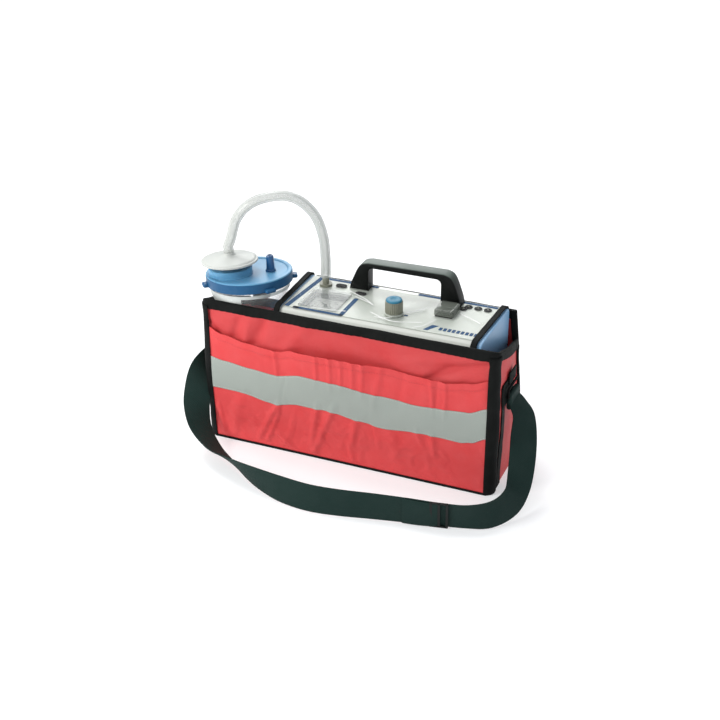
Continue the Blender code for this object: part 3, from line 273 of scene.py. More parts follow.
# ------------------------------------------------------------------ bag wall
def outline(s):
    """(x, y, outward x, outward y) on the bag's plan, s metres anticlockwise from the front's left end."""
    s %= PERIMETER
    sides = [(SIDE_X, -SIDE_X / 2, -HALF_D, 1, 0), (SIDE_Y, HALF_L, -SIDE_Y / 2, 0, 1),
             (SIDE_X, SIDE_X / 2, HALF_D, -1, 0), (SIDE_Y, -HALF_L, SIDE_Y / 2, 0, -1)]
    for length, x, y, dx, dy in sides:
        if s <= length:
            return x + dx * s, y + dy * s, dy, -dx
        s -= length
        if s <= QUARTER:
            a = s / CORNER_R
            nx = dy * math.cos(a) + dx * math.sin(a)
            ny = -dx * math.cos(a) + dy * math.sin(a)
            return x + dx * length + (nx - dy) * CORNER_R, y + dy * length + (ny + dx) * CORNER_R, nx, ny
        s -= QUARTER
    return -SIDE_X / 2, -HALF_D, 0, -1


def rim_height(s):
    """Height of the bag's upper edge: low round the canister bay, falling along both ends."""
    x, y, nx, ny = outline(s)
    across = clamp((y + HALF_D) / (2 * HALF_D))
    if x > 0:
        end = FRONT_H + (END_RIM - FRONT_H) * across
        if y > HALF_D - CORNER_R:
            return end + (BACK_RIM - end) * ease((HALF_L - x) / CORNER_R)
        return end
    if y > HALF_D - CORNER_R:
        return BAY_RIM + (BACK_RIM - BAY_RIM) * ease((x + 0.116) / 0.012)
    return FRONT_H + (BAY_RIM - FRONT_H) * across


def wall_point(s, z, out=0.0):
    """Point of the bag's wall at height z, out metres off it: its left end bulges, its right is pulled in."""
    x, y, nx, ny = outline(s)
    level = clamp(z / rim_height(s))
    across = clamp((y + HALF_D) / (2 * HALF_D))
    px = x
    if x > 0.16:
        pull = RIGHT_PULL * across ** 2 * clamp(1.4 * level) + 0.0045 * across * ease((z - 0.166) / 0.040)
        px -= pull * (x - 0.16) / 0.05
    if x < -0.12:
        px -= FRONT_SPREAD * (1 - across) * ease((-0.12 - x) / 0.08) * ease(2 * level)
    if x < -0.199:
        px -= LEFT_BULGE * math.sin(math.pi * across) ** 3 * math.sin(math.pi / 2 * min(1.3 * level, 1))
    return Vector((px + nx * out, y + ny * out, z))


def cloth_off(s, z):
    """Creases and sag of the bag's own wall, and the rounding at its foot."""
    x, y, nx, ny = outline(s)
    near_foot = 0.0030 * (1 - math.sqrt(max(0.0, 1 - (1 - clamp(z / 0.0030)) ** 2)))
    level = clamp(z / rim_height(s))
    soft = 0.0011 * ripple(s, z, 0.045, 1.0) + 0.0006 * ripple(s, z, 0.018, 4.0)
    folds = 1.5 * fold_height(x, z, FRONT_FOLDS) if y < -HALF_D + 1e-4 else 0.0
    calm = ease(level / 0.1)
    side = ease((abs(nx) - 0.5) * 2) * 0.0012 * math.sin(9 * level + 40 * y)
    relief = calm * (soft + folds * ease((1 - level) / 0.06) + side * level)
    return max(bpy.context.scene.pump_bag.crease * relief, -0.0038) - near_foot


def front_s(x):
    """Distance along the wall of a place on the front panel."""
    return x + SIDE_X / 2


def pocket_out(x, z):
    """How far the pocket stands off the front panel."""
    top = interp(POCKET_TOP, x)
    level = clamp(z / top)
    opening = math.exp(-((x + 0.012) / 0.062) ** 4)
    lift = (0.0014 + 0.0088 * opening) * level ** 3 + 0.0016 * level * math.cos(x / 0.21 * math.pi / 2)
    edge = ease((0.2020 - abs(x)) / 0.012) * ease((z - 0.002) / 0.012)
    hem = 0.0009 * ease((z - top + 0.0125) / 0.0016) - 0.0006 * math.exp(-((z - top + 0.0105) / 0.0009) ** 2)
    low = ease((0.085 - z) / 0.03)
    crumple = abs(ripple(x + 0.3 * z, z, 0.026, 9.0)) + 0.5 * abs(ripple(x, z, 0.012, 5.0))
    strength = 1.9 - 0.9 * ease((z - 0.100) / 0.03)
    folds = strength * fold_height(x, z, POCKET_FOLDS) + 0.0010 * ripple(x, z, 0.034)
    folds += 0.0004 * ripple(x, z, 0.012, 3.0)
    folds += low * 0.0022 * (0.35 - crumple)
    above_foot = ease((z - interp(BAND_LOW, x) + 0.004) / 0.006)
    below_top = ease((interp(BAND_TOP, x) - z + 0.004) / 0.006)
    folds *= 1 - 0.55 * above_foot * below_top
    gather = max(0.0, 0.0009 * ripple(x, 0.0, 0.012, 7.0)) * level ** 4
    return 0.0017 + (hem + lift + folds * bpy.context.scene.pump_bag.crease + gather) * edge


def pocket_face(s, z):
    """Outer face of the pocket, never inside the wall behind it."""
    return max(pocket_out(s - SIDE_X / 2, z), cloth_off(s, z) + 0.0015)


# ------------------------------------------------------------------ mesh helpers
BAG = Matrix.Translation(CENTRE)


def piece(name, bm, finish, body="root", stands_for=(), turn=BAG, sharp=40):
    """A finished mesh object at the origin, riding on a body."""
    bmesh.ops.transform(bm, matrix=turn, verts=bm.verts)
    mesh = bpy.data.meshes.new(name)
    bm.to_mesh(mesh)
    bm.free()
    mesh.polygons.foreach_set("use_smooth", [True] * len(mesh.polygons))
    mesh.set_sharp_from_angle(angle=math.radians(sharp))
    mesh.materials.append(finish.material)
    obj = bpy.data.objects.new(name, mesh)
    bpy.context.scene.collection.objects.link(obj)
    if stands_for:
        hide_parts(*stands_for)
    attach(obj, body)
    return obj


def face_outward(bm):
    bmesh.ops.recalc_face_normals(bm, faces=bm.faces)


def grid(columns, rows, place):
    """Mesh grid with each point placed from its (u, v) in 0..1; UV in metres comes from place as well."""
    bm = bmesh.new()
    bmesh.ops.create_grid(bm, x_segments=columns, y_segments=rows, size=1.0)
    layer = bm.loops.layers.uv.new("UVMap")
    where = {v: ((v.co.x + 1) / 2, (v.co.y + 1) / 2) for v in bm.verts}
    cloth = {}
    for v, (a, b) in where.items():
        v.co, cloth[v] = place(a, b)
    for face in bm.faces:
        for corner in face.loops:
            corner[layer].uv = cloth[corner.vert]
    return bm


def wall_patch(columns, rows, s_at, z_at, out_at):
    """Grid hugging the bag wall, in distance along the wall and height."""
    def place(a, b):
        s = s_at(a)
        z = z_at(s, b)
        return wall_point(s, z, out_at(s, z)), (s, z)
    return grid(columns, rows, place)


def axes(centre, side, up):
    """Matrix that carries a section's (side, up) points to a place on a route."""
    return Matrix.Translation(centre) @ Matrix((side, up, side.cross(up))).transposed().to_4x4()


def sweep(section, frames, capped=True):
    """Closed section of (side, up) points carried along (centre, side, up) frames; UV along and around."""
    bm = bmesh.new()
    layer = bm.loops.layers.uv.new("UVMap")
    bmesh.ops.create_circle(bm, segments=len(section), radius=1.0)
    turns = [axes(*frame_at) for frame_at in frames]
    around, total = [], 0.0
    for (a, b), (c, d) in zip(section, section[1:] + section[:1]):
        around.append(total)
        total += math.hypot(c - a, d - b)
    spot = {}
    for v, (a, b), reach in zip(bm.verts, section, around):
        v.co = turns[0] @ Vector((a, b, 0))
        spot[v] = (0.0, reach)
    edges = bm.edges[:]
    if capped:
        bmesh.ops.contextual_create(bm, geom=edges)
    along = 0.0
    for one, two in zip(turns, turns[1:]):
        made = bmesh.ops.extrude_edge_only(bm, edges=edges)["geom"]
        verts = {g for g in made if isinstance(g, bmesh.types.BMVert)}
        edges = [g for g in made if isinstance(g, bmesh.types.BMEdge) and all(v in verts for v in g.verts)]
        bmesh.ops.transform(bm, matrix=two @ one.inverted(), verts=list(verts))
        along += (two.translation - one.translation).length
        for v in verts:
            old = next(e.other_vert(v) for e in v.link_edges if e.other_vert(v) in spot and e not in edges)
            spot[v] = (along, spot[old][1])
    if capped:
        bmesh.ops.contextual_create(bm, geom=edges)
    for face in bm.faces:
        spots = [spot[corner.vert] for corner in face.loops]
        far = max(reach for _, reach in spots)
        for corner, (length, reach) in zip(face.loops, spots):
            corner[layer].uv = (length, reach + total if far - reach > total / 2 else reach)
    face_outward(bm)
    return bm


def turned(profile, steps=64, at=(0, 0, 0)):
    """Solid of revolution about Z from (radius, height) points, closed on the axis or on itself."""
    bm = bmesh.new()
    verts = [bm.verts.new((r, 0, z)) for r, z in profile]
    edges = [bm.edges.new(pair) for pair in zip(verts, verts[1:])]
    if profile[0][0] > 1e-6 or profile[-1][0] > 1e-6:
        edges.append(bm.edges.new((verts[-1], verts[0])))
    bmesh.ops.spin(bm, geom=verts + edges, cent=(0, 0, 0), axis=(0, 0, 1), angle=math.tau, steps=steps,
                   use_merge=True)
    bmesh.ops.remove_doubles(bm, verts=bm.verts, dist=1e-6)
    bmesh.ops.translate(bm, vec=Vector(at), verts=bm.verts)
    face_outward(bm)
    return bm


def arc(cx, cy, r, start, end, steps):
    """Points of an arc from start to end degrees, both ends with it."""
    turns = [math.radians(start + (end - start) * k / steps) for k in range(steps + 1)]
    return [(cx + r * math.cos(a), cy + r * math.sin(a)) for a in turns]


def circle(r, steps, at=(0, 0)):
    """Points of a circle, anticlockwise."""
    return arc(at[0], at[1], r, 0, 360, steps)[:-1]


def rounded(low, high, r, steps=5):
    """Points of a rounded rectangle, anticlockwise."""
    (x0, y0), (x1, y1) = low, high
    corners = [(x1 - r, y1 - r, 0), (x0 + r, y1 - r, 90), (x0 + r, y0 + r, 180), (x1 - r, y0 + r, 270)]
    return [point for cx, cy, a in corners for point in arc(cx, cy, r, a, a + 90, steps)]


def soften(bm, edges, offset, segments):
    """Rounded bevel along some edges."""
    bmesh.ops.bevel(bm, geom=edges, offset=offset, segments=segments, profile=0.5, affect="EDGES",
                    material=-1)


def plate(outline_points, z0, z1, bevel=0.0, segments=2):
    """Flat outline raised from z0 to z1, its upper edge softened."""
    bm = bmesh.new()
    base = bm.faces.new([bm.verts.new((x, y, z0)) for x, y in outline_points])
    up = bmesh.ops.extrude_face_region(bm, geom=[base])
    top = [g for g in up["geom"] if isinstance(g, bmesh.types.BMVert)]
    bmesh.ops.translate(bm, vec=(0, 0, z1 - z0), verts=top)
    face_outward(bm)
    if bevel:
        rim = [e for e in bm.edges if all(abs(v.co.z - z1) < 1e-7 for v in e.verts)]
        soften(bm, rim, bevel, segments)
    return bm


def block(low, high, bevel=0.0, segments=2):
    """Box between two corners, its edges softened."""
    bm = bmesh.new()
    bmesh.ops.create_cube(bm, size=1.0)
    low, high = Vector(low), Vector(high)
    bmesh.ops.scale(bm, vec=high - low, verts=bm.verts)
    bmesh.ops.translate(bm, vec=(low + high) / 2, verts=bm.verts)
    if bevel:
        soften(bm, bm.edges[:], bevel, segments)
    return bm


def merge(*parts):
    """Several meshes as one, each part freed."""
    whole = bmesh.new()
    for bm in parts:
        mesh = bpy.data.meshes.new("merged")
        bm.to_mesh(mesh)
        bm.free()
        whole.from_mesh(mesh)
        bpy.data.meshes.remove(mesh)
    return whole


def solidify(obj, thickness, offset=-1.0):
    """Give a cloth-like piece its thickness."""
    mod = obj.modifiers.new("thickness", "SOLIDIFY")
    mod.thickness = thickness
    mod.offset = offset
    mod.use_even_offset = False
    return obj


def carve(obj, *cutters):
    """Cut holes through a piece and drop the cutters."""
    for i, bm in enumerate(cutters):
        bmesh.ops.transform(bm, matrix=BAG, verts=bm.verts)
        face_outward(bm)
        mesh = bpy.data.meshes.new("cutter")
        bm.to_mesh(mesh)
        bm.free()
        tool = bpy.data.objects.new("cutter", mesh)
        bpy.context.scene.collection.objects.link(tool)
        mod = obj.modifiers.new(f"hole_{i}", "BOOLEAN")
        mod.object = tool
        mod.solver = "EXACT"
        bpy.context.view_layer.objects.active = obj
        bpy.ops.object.modifier_apply(modifier=mod.name)
        bpy.data.objects.remove(tool)
        bpy.data.meshes.remove(mesh)
    return obj


def stitches(spots, long=0.0024, wide=0.00045):
    """Thread stitches: (place, direction along the seam, direction off the cloth) for each."""
    bm = bmesh.new()
    for co, along, off in spots:
        made = bmesh.ops.create_icosphere(bm, subdivisions=1, radius=1.0)
        side = along.cross(off)
        turn = Matrix((along * long / 2, side * wide, off * wide)).transposed().to_4x4()
        bmesh.ops.transform(bm, matrix=Matrix.Translation(co) @ turn, verts=made["verts"])
    return bm


# ------------------------------------------------------------------ shader groups
def add_node(tree, kind, values=(), **settings):
    """A node with its settings, and a value or an output socket for each named or numbered input."""
    made = tree.nodes.new(kind)
    for key, value in settings.items():
        setattr(made, key, value)
    for key, value in dict(values).items():
        if isinstance(value, bpy.types.NodeSocket):
            tree.links.new(value, made.inputs[key])
        else:
            made.inputs[key].default_value = value
    return made


def maths(tree, operation, a, b=0.0):
    """Output of a maths node."""
    return add_node(tree, "ShaderNodeMath", {0: a, 1: b}, operation=operation).outputs[0]


def new_group(name, inputs, outputs):
    """Empty shader group with its sockets: (tree, its inputs, its output node)."""
    tree = bpy.data.node_groups.new(name, "ShaderNodeTree")
    for socket, kind, default in inputs:
        tree.interface.new_socket(name=socket, in_out="INPUT", socket_type=kind).default_value = default
    for socket, kind in outputs:
        tree.interface.new_socket(name=socket, in_out="OUTPUT", socket_type=kind)
    return tree, tree.nodes.new("NodeGroupInput").outputs, tree.nodes.new("NodeGroupOutput")


def mix_colour(tree, factor, a, b):
    """Output of a colour mix."""
    made = add_node(tree, "ShaderNodeMix", {0: factor, 6: a, 7: b}, data_type="RGBA")
    return made.outputs[2]


def woven_cloth():
    """Plain weave laid out by the cloth's own UV, in metres, with painted shade between its threads, uneven
    dye that partly stands in for painted sheen, and a fine fuzz.
    """
    tree, given, out = new_group("woven_cloth", [("Colour", "NodeSocketColor", (0.5, 0.5, 0.5, 1.0)),
                                                 ("Thread", "NodeSocketFloat", 0.0009),
                                                 ("Relief", "NodeSocketFloat", 0.5),
                                                 ("Variation", "NodeSocketFloat", 0.2)],
                                 [("Colour", "NodeSocketColor"), ("Roughness", "NodeSocketFloat"),
                                  ("Normal", "NodeSocketVector")])
    where = tree.nodes.new("ShaderNodeTexCoord")
    split = add_node(tree, "ShaderNodeSeparateXYZ", {0: where.outputs["UV"]})
    waves = []
    for axis in ("X", "Y"):
        turn = maths(tree, "DIVIDE", split.outputs[axis], given["Thread"])
        waves.append(maths(tree, "SINE", maths(tree, "MULTIPLY", turn, math.pi)))
    weave = maths(tree, "MULTIPLY", waves[0], waves[1])
    level = maths(tree, "MULTIPLY_ADD", weave, 0.5)
    level.node.inputs[2].default_value = 0.5
    place = where.outputs["Object"]
    wide = add_node(tree, "ShaderNodeTexNoise", {"Vector": place, "Scale": 42.0, "Detail": 4.0})
    fine = add_node(tree, "ShaderNodeTexNoise", {"Vector": place, "Scale": 900.0, "Detail": 2.0})
    # Painted shade: the gaps between the threads are darkened towards black.
    dark = mix_colour(tree, 0.55, given["Colour"], (0.0, 0.0, 0.0, 1.0))
    light = mix_colour(tree, 0.10, given["Colour"], (1.0, 1.0, 1.0, 1.0))
    # Lighter mottle: partly uneven dye, partly painted sheen standing in for the cloth's broad highlights.
    share = maths(tree, "MULTIPLY", given["Variation"], maths(tree, "SUBTRACT", 1.0, wide.outputs["Fac"]))
    uneven_dye_and_sheen = mix_colour(tree, share, given["Colour"], light)
    thread_gap_shade = maths(tree, "MULTIPLY", maths(tree, "SUBTRACT", 1.0, level), 0.30)
    tree.links.new(mix_colour(tree, thread_gap_shade, uneven_dye_and_sheen, dark), out.inputs["Colour"])
    rough = maths(tree, "MULTIPLY_ADD", fine.outputs["Fac"], 0.25)
    rough.node.inputs[2].default_value = 0.50
    tree.links.new(rough, out.inputs["Roughness"])
    height = maths(tree, "ADD", level, maths(tree, "MULTIPLY", fine.outputs["Fac"], 0.5))
    bump = add_node(tree, "ShaderNodeBump", {"Strength": given["Relief"], "Distance": 0.0003,
                                             "Height": height})
    tree.links.new(bump.outputs["Normal"], out.inputs["Normal"])
    return tree


def moulded_grain():
    """Fine spark-eroded grain with slightly uneven tone and a rubbed, patchy gloss."""
    tree, given, out = new_group("moulded_grain", [("Colour", "NodeSocketColor", (0.5, 0.5, 0.5, 1.0)),
                                                   ("Roughness", "NodeSocketFloat", 0.4),
                                                   ("Grain", "NodeSocketFloat", 1600.0),
                                                   ("Relief", "NodeSocketFloat", 0.15),
                                                   ("Wear", "NodeSocketFloat", 0.1)],
                                 [("Colour", "NodeSocketColor"), ("Roughness", "NodeSocketFloat"),
                                  ("Normal", "NodeSocketVector")])
    where = tree.nodes.new("ShaderNodeTexCoord")
    place = where.outputs["Object"]
    grain = add_node(tree, "ShaderNodeTexNoise", {"Vector": place, "Scale": given["Grain"], "Detail": 3.0})
    patch = add_node(tree, "ShaderNodeTexNoise", {"Vector": place, "Scale": 55.0, "Detail": 5.0,
                                                  "Roughness": 0.6})
    edge = maths(tree, "MULTIPLY", maths(tree, "SUBTRACT", patch.outputs["Fac"], 0.4), given["Wear"])
    lighter = mix_colour(tree, 0.5, given["Colour"], (1.0, 1.0, 1.0, 1.0))
    tree.links.new(mix_colour(tree, edge, given["Colour"], lighter), out.inputs["Colour"])
    rubbed = maths(tree, "MULTIPLY_ADD", patch.outputs["Fac"], 0.22)
    tree.links.new(maths(tree, "SUBTRACT", given["Roughness"], 0.11), rubbed.node.inputs[2])
    tree.links.new(rubbed, out.inputs["Roughness"])
    bump = add_node(tree, "ShaderNodeBump", {"Strength": given["Relief"], "Distance": 0.0002,
                                             "Height": grain.outputs["Fac"]})
    tree.links.new(bump.outputs["Normal"], out.inputs["Normal"])
    return tree


def handling_marks():
    """Mask of soft smears and fine dust, for clear and shiny surfaces."""
    tree, given, out = new_group("handling_marks", [("Smear", "NodeSocketFloat", 26.0),
                                                    ("Low", "NodeSocketFloat", 0.1),
                                                    ("High", "NodeSocketFloat", 0.4)],
                                 [("Value", "NodeSocketFloat"), ("Normal", "NodeSocketVector")])
    where = tree.nodes.new("ShaderNodeTexCoord")
    smear = add_node(tree, "ShaderNodeTexNoise", {"Vector": where.outputs["Object"], "Scale": given["Smear"],
                                                  "Detail": 6.0, "Roughness": 0.65})
    spread = add_node(tree, "ShaderNodeMapRange", {"Value": smear.outputs["Fac"], "From Min": 0.35,
                                                   "From Max": 0.70, "To Min": given["Low"],
                                                   "To Max": given["High"]})
    tree.links.new(spread.outputs["Result"], out.inputs["Value"])
    bump = add_node(tree, "ShaderNodeBump", {"Strength": 0.12, "Distance": 0.0006,
                                             "Height": smear.outputs["Fac"]})
    tree.links.new(bump.outputs["Normal"], out.inputs["Normal"])
    return tree


class Finish:
    """A material, and a slot name that it keeps; the slot name is not used."""

    def __init__(self, name, slot, **sockets):
        self.slot = slot
        self.material = bpy.data.materials.new(name)
        self.material.use_nodes = True
        self.tree = self.material.node_tree
        self.shader = self.tree.nodes["Principled BSDF"]
        for key, value in sockets.items():
            self.shader.inputs[key.replace("_", " ")].default_value = value

    def effect(self, group, **values):
        """A shader group in this material, with its own values."""
        made = self.tree.nodes.new("ShaderNodeGroup")
        made.node_tree = group
        for key, value in values.items():
            made.inputs[key].default_value = value
        return made

    def surface(self, group, colour, **values):
        """Colour, roughness and normal from a group."""
        made = self.effect(group, Colour=(*colour, 1.0), **values)
        for socket, target in (("Colour", "Base Color"), ("Roughness", "Roughness"), ("Normal", "Normal")):
            self.tree.links.new(made.outputs[socket], self.shader.inputs[target])
        return self

    def top_sheen(self, dust_and_sheen):
        """Paler where the surface faces up: painted sheen on the upward faces."""
        where = self.tree.nodes.new("ShaderNodeTexCoord")
        split = add_node(self.tree, "ShaderNodeSeparateXYZ", {0: where.outputs["Normal"]})
        share = add_node(self.tree, "ShaderNodeMapRange", {"Value": split.outputs["Z"], "From Min": 0.30,
                                                           "From Max": 0.95})
        base = self.shader.inputs["Base Color"]
        mixed = mix_colour(self.tree, share.outputs["Result"], base.links[0].from_socket, (*dust_and_sheen, 1.0))
        self.tree.links.new(mixed, base)
        return self

    def marked(self, group, low, high, smear=26.0):
        """Uneven gloss from smears and dust."""
        made = self.effect(group, Smear=smear, Low=low, High=high)
        self.tree.links.new(made.outputs["Value"], self.shader.inputs["Roughness"])
        self.tree.links.new(made.outputs["Normal"], self.shader.inputs["Normal"])
        return self

    def edge_alpha(self, face, rim, colour, rim_colour, blend=0.35):
        """See-through face on, denser and greyer where the surface turns away: the greyer rim is painted
        shade for the dark edges of clear walls.
        """
        facing = add_node(self.tree, "ShaderNodeLayerWeight", {"Blend": blend})
        turned_away = maths(self.tree, "POWER", facing.outputs["Facing"], 2.0)
        painted_shade = mix_colour(self.tree, turned_away, (*colour, 1.0), (*rim_colour, 1.0))
        self.tree.links.new(painted_shade, self.shader.inputs["Base Color"])
        spread = add_node(self.tree, "ShaderNodeMapRange", {"Value": facing.outputs["Facing"], "To Min": face,
                                                            "To Max": rim})
        self.tree.links.new(spread.outputs["Result"], self.shader.inputs["Alpha"])
        return self


def make_finishes(scene):
    """Every finish by its slot name, with a few more for printed and lined details."""
    bag, unit, canister = scene.pump_bag, scene.pump_unit, scene.pump_canister
    cloth, grain, marks = woven_cloth(), moulded_grain(), handling_marks()
    made = {}

    def cloths(name, slot, colour, thread, relief, variation, **sockets):
        made[name] = Finish(name, slot, **sockets)
        made[name].surface(cloth, colour, Thread=thread, Relief=relief, Variation=variation)

    def plastic(name, slot, colour, rough, relief=0.15, wear=0.10, size=1600.0, **sockets):
        made[name] = Finish(name, slot, **sockets)
        made[name].surface(grain, colour, Roughness=rough, Relief=relief, Wear=wear, Grain=size)

    def clear(name, slot, colours, gloss, alphas, smear=26.0, **sockets):
        """Colours, roughness and alpha are pairs: (face on, at the rim) or (smooth, smeared)."""
        made[name] = Finish(name, slot, **sockets)
        if smear:
            made[name].marked(marks, *gloss, smear)
        made[name].edge_alpha(*alphas, *colours)

    # Painted shade: the shell gets the bag fabric darkened by a fixed share, for the walls and ends that face
    # away from the light; the pocket keeps the lit colour.
    painted_shade = tuple(0.86 * c for c in bag.fabric)
    cloths("red_fabric", "red_fabric", bag.fabric, 0.00055, 0.30, 0.40, Specular_IOR_Level=0.36)
    cloths("shell_fabric_painted_shade", "red_fabric", painted_shade, 0.00055, 0.30, 0.40, Specular_IOR_Level=0.36)
    cloths("black_tape", "black_tape", (0.0050, 0.0060, 0.0055), 0.00100, 0.80, 0.10, Specular_IOR_Level=0.05)
    cloths("webbing", "webbing", bag.webbing, 0.00130, 1.00, 0.12, Specular_IOR_Level=0.12)
    cloths("reflective_tape", "reflective_tape", bag.reflector, 0.00065, 0.30, 0.50, Metallic=0.15)
    cloths("red_thread", "red_fabric", (0.560, 0.050, 0.055), 0.00040, 0.40, 0.20)
    cloths("pale_thread", "reflective_tape", (0.520, 0.540, 0.500), 0.00040, 0.40, 0.20)
    # Each clear finish's second colour is painted shade at its grazing edges.
    clear("clear_film", "clear_film", ((0.92, 0.94, 0.93), (0.80, 0.82, 0.80)), (0.05, 0.22), (0.00, 0.05),
          Specular_IOR_Level=0.05)
    # Painted highlights: near-white ridges along the film's creases.
    clear("film_crease_glint", "clear_film", ((0.95, 0.95, 0.94), (0.80, 0.82, 0.80)), (0.10, 0.25), (0.60, 0.80))
    clear("clear_plastic", "clear_plastic", ((0.80, 0.83, 0.82), (0.30, 0.34, 0.34)), (0.06, 0.20),
          (0.06, 0.42))
    clear("jar_frost", "clear_plastic", ((0.62, 0.65, 0.63), (0.42, 0.45, 0.43)), (0.35, 0.50), (0.80, 0.95))
    clear("filter_white", "filter_white", ((0.66, 0.68, 0.65), (0.24, 0.26, 0.24)), (0.38, 0.52),
          (0.70, 1.00), Specular_IOR_Level=0.25)
    clear("hose_clear", "hose_clear", ((0.60, 0.62, 0.59), (0.13, 0.15, 0.13)), (0.24, 0.24), (0.34, 1.00),
          smear=0.0, Roughness=0.24)
    clear("smoke_cover", "smoke_cover", ((0.20, 0.22, 0.19), (0.03, 0.04, 0.03)), (0.06, 0.20), (0.36, 0.84))
    plastic("case_white", "case_white", unit.case, 0.42)
    plastic("case_blue", "case_blue", (0.190, 0.370, 0.580), 0.40)
    plastic("print_blue", "case_blue", unit.print_colour, 0.60, relief=0.05, Specular_IOR_Level=0.05)
    plastic("print_white", "case_white", (0.780, 0.790, 0.750), 0.45, relief=0.05)
    plastic("label_grey", "label_grey", unit.panel, 0.36, relief=0.10)
    plastic("black_plastic", "black_plastic", (0.0060, 0.0075, 0.0070), 0.40, relief=0.35, wear=0.02,
            size=1200.0, Specular_IOR_Level=0.22)
    plastic("handle_black", "black_plastic", (0.0030, 0.0040, 0.0035), 0.42, relief=0.35, wear=0.02,
            size=1200.0, Specular_IOR_Level=0.14)
    # Painted sheen: the handle's upward faces are paled, as if lit from above and behind.
    made["handle_black"].top_sheen((0.110, 0.135, 0.120))
    plastic("rubber", "rubber", (0.008, 0.008, 0.008), 0.70, relief=0.30, wear=0.02, Specular_IOR_Level=0.05)
    plastic("lid_blue", "lid_blue", canister.lid, 0.42, relief=0.08, Subsurface_Weight=0.05,
            Specular_IOR_Level=0.35)
    # Painted shade: the lid's side is a darker copy of the lid's blue, as it faces away from the light.
    plastic("lid_skirt_painted_shade", "lid_blue", canister.skirt, 0.36, relief=0.08, Specular_IOR_Level=0.25)
    plastic("spigot_blue", "spigot_blue", (0.008, 0.075, 0.200), 0.32, relief=0.06)
    plastic("knob_grey", "knob_grey", unit.knob, 0.48, relief=0.25)
    plastic("cap_blue", "cap_blue", (0.024, 0.165, 0.260), 0.40, relief=0.08, Specular_IOR_Level=0.30)
    plastic("steel", "steel", (0.560, 0.560, 0.570), 0.32, relief=0.10, Metallic=1.0)
    plastic("brass", "brass", (0.600, 0.450, 0.180), 0.34, relief=0.10, Metallic=1.0)
    plastic("board_green", "board_green", (0.020, 0.170, 0.060), 0.45, relief=0.20)
    plastic("battery_grey", "battery_grey", (0.100, 0.110, 0.120), 0.55, relief=0.20)
    plastic("white_dial", "white_dial", (0.800, 0.800, 0.760), 0.45, relief=0.05)
    plastic("needle_dark", "needle_dark", (0.030, 0.030, 0.030), 0.45, relief=0.05)
    plastic("lens_grey", "clear_plastic", (0.420, 0.450, 0.430), 0.22, relief=0.04, Alpha=0.30)
    plastic("floor", "floor", (0.560, 0.565, 0.572), 0.70, relief=0.03, wear=0.02, size=300.0,
            Emission_Color=(0.98, 0.99, 1.0, 1.0), Emission_Strength=0.46)
    return made


# ------------------------------------------------------------------ settings
def metres(name, text, value):
    return bpy.props.FloatProperty(name=name, description=text, default=value, min=0.0, unit="LENGTH",
                                   precision=4)


def power(name, text, value):
    return bpy.props.FloatProperty(name=name, description=text, default=value, min=0.0, unit="POWER")


def count(name, text, value, low, high):
    return bpy.props.IntProperty(name=name, description=text, default=value, min=low, max=high)


def colour(name, text, value):
    return bpy.props.FloatVectorProperty(name=name, description=text, default=value, size=3, min=0.0, max=1.0,
                                         subtype="COLOR")


class PumpBagSettings(bpy.types.PropertyGroup):
    fabric: colour("Fabric", "Colour of the coated bag fabric", (0.690, 0.041, 0.044))
    webbing: colour("Webbing", "Colour of the shoulder strap", (0.006, 0.024, 0.020))
    reflector: colour("Reflective tape", "Colour of the tape across the pocket", (0.330, 0.370, 0.335))
    binding: metres("Binding width", "Height of the rim binding on each face of the wall", 0.0120)
    tape: metres("Corner tape width", "Width of the tape down each corner", 0.0170)
    pitch: metres("Stitch pitch", "Distance from one stitch to the next", 0.0036)
    crease: bpy.props.FloatProperty(name="Crease strength", description="Depth of the cloth creases",
                                    default=1.0, min=0.0, max=1.5, subtype="FACTOR")


class PumpUnitSettings(bpy.types.PropertyGroup):
    panel: colour("Panel", "Colour of the printed panel", (0.395, 0.426, 0.376))
    case: colour("Casing", "Colour of the moulded casing", (0.470, 0.485, 0.445))
    print_colour: colour("Print", "Colour of the panel graphics", (0.002, 0.046, 0.130))
    knob: colour("Knob", "Colour of the regulator knob", (0.205, 0.210, 0.160))
    ribs: count("Knob ribs", "Grip ribs round the knob", 30, 8, 60)
    ticks: count("Dial ticks", "Marks round the gauge dial", 25, 5, 60)


class PumpCanisterSettings(bpy.types.PropertyGroup):
    lid: colour("Lid", "Colour of the canister lid", (0.095, 0.275, 0.450))
    # The skirt colour is the lid's blue darkened as painted shade on the lid's side.
    skirt: colour("Lid skirt", "Colour of the lid's side", (0.008, 0.075, 0.180))
    steps: count("Round steps", "Facets round each turned piece", 96, 24, 192)
    hose_wall: metres("Hose wall", "Wall thickness of the vacuum hose", 0.0024)


class PumpStageSettings(bpy.types.PropertyGroup):
    floor: metres("Floor size", "Side of the pale floor", 40.0)
    sky: bpy.props.FloatProperty(name="Sky light", description="Strength of the high light", default=1.5,
                                 min=0.0)
    key: power("Key light", "Power of the main light", 14.0)
    rim: power("Rim light", "Power of the light behind", 26.0)
    fill: power("Fill light", "Power of the side light", 3.0)
    lens: bpy.props.FloatProperty(name="Lens", description="Focal length", default=67.11, unit="CAMERA")


FINISHES = {}


def look(name):
    """A finish by its name, all of them made at the first call."""
    if not FINISHES:
        FINISHES.update(make_finishes(bpy.context.scene))
    return FINISHES[name]


def repaint(name, *nodes):
    """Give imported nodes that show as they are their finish."""
    for node in nodes:
        mesh = frame["nodes"][node].data
        mesh.materials.clear()
        mesh.materials.append(look(name).material)


def build(name, bm, finish, *stands_for, **more):
    """A piece in a finish, standing for the nodes named after it."""
    return piece(name, bm, look(finish), stands_for=stands_for, **more)


class PumpPiece:
    """What every operator of the pump shares"""
    bl_options = {"REGISTER", "UNDO"}


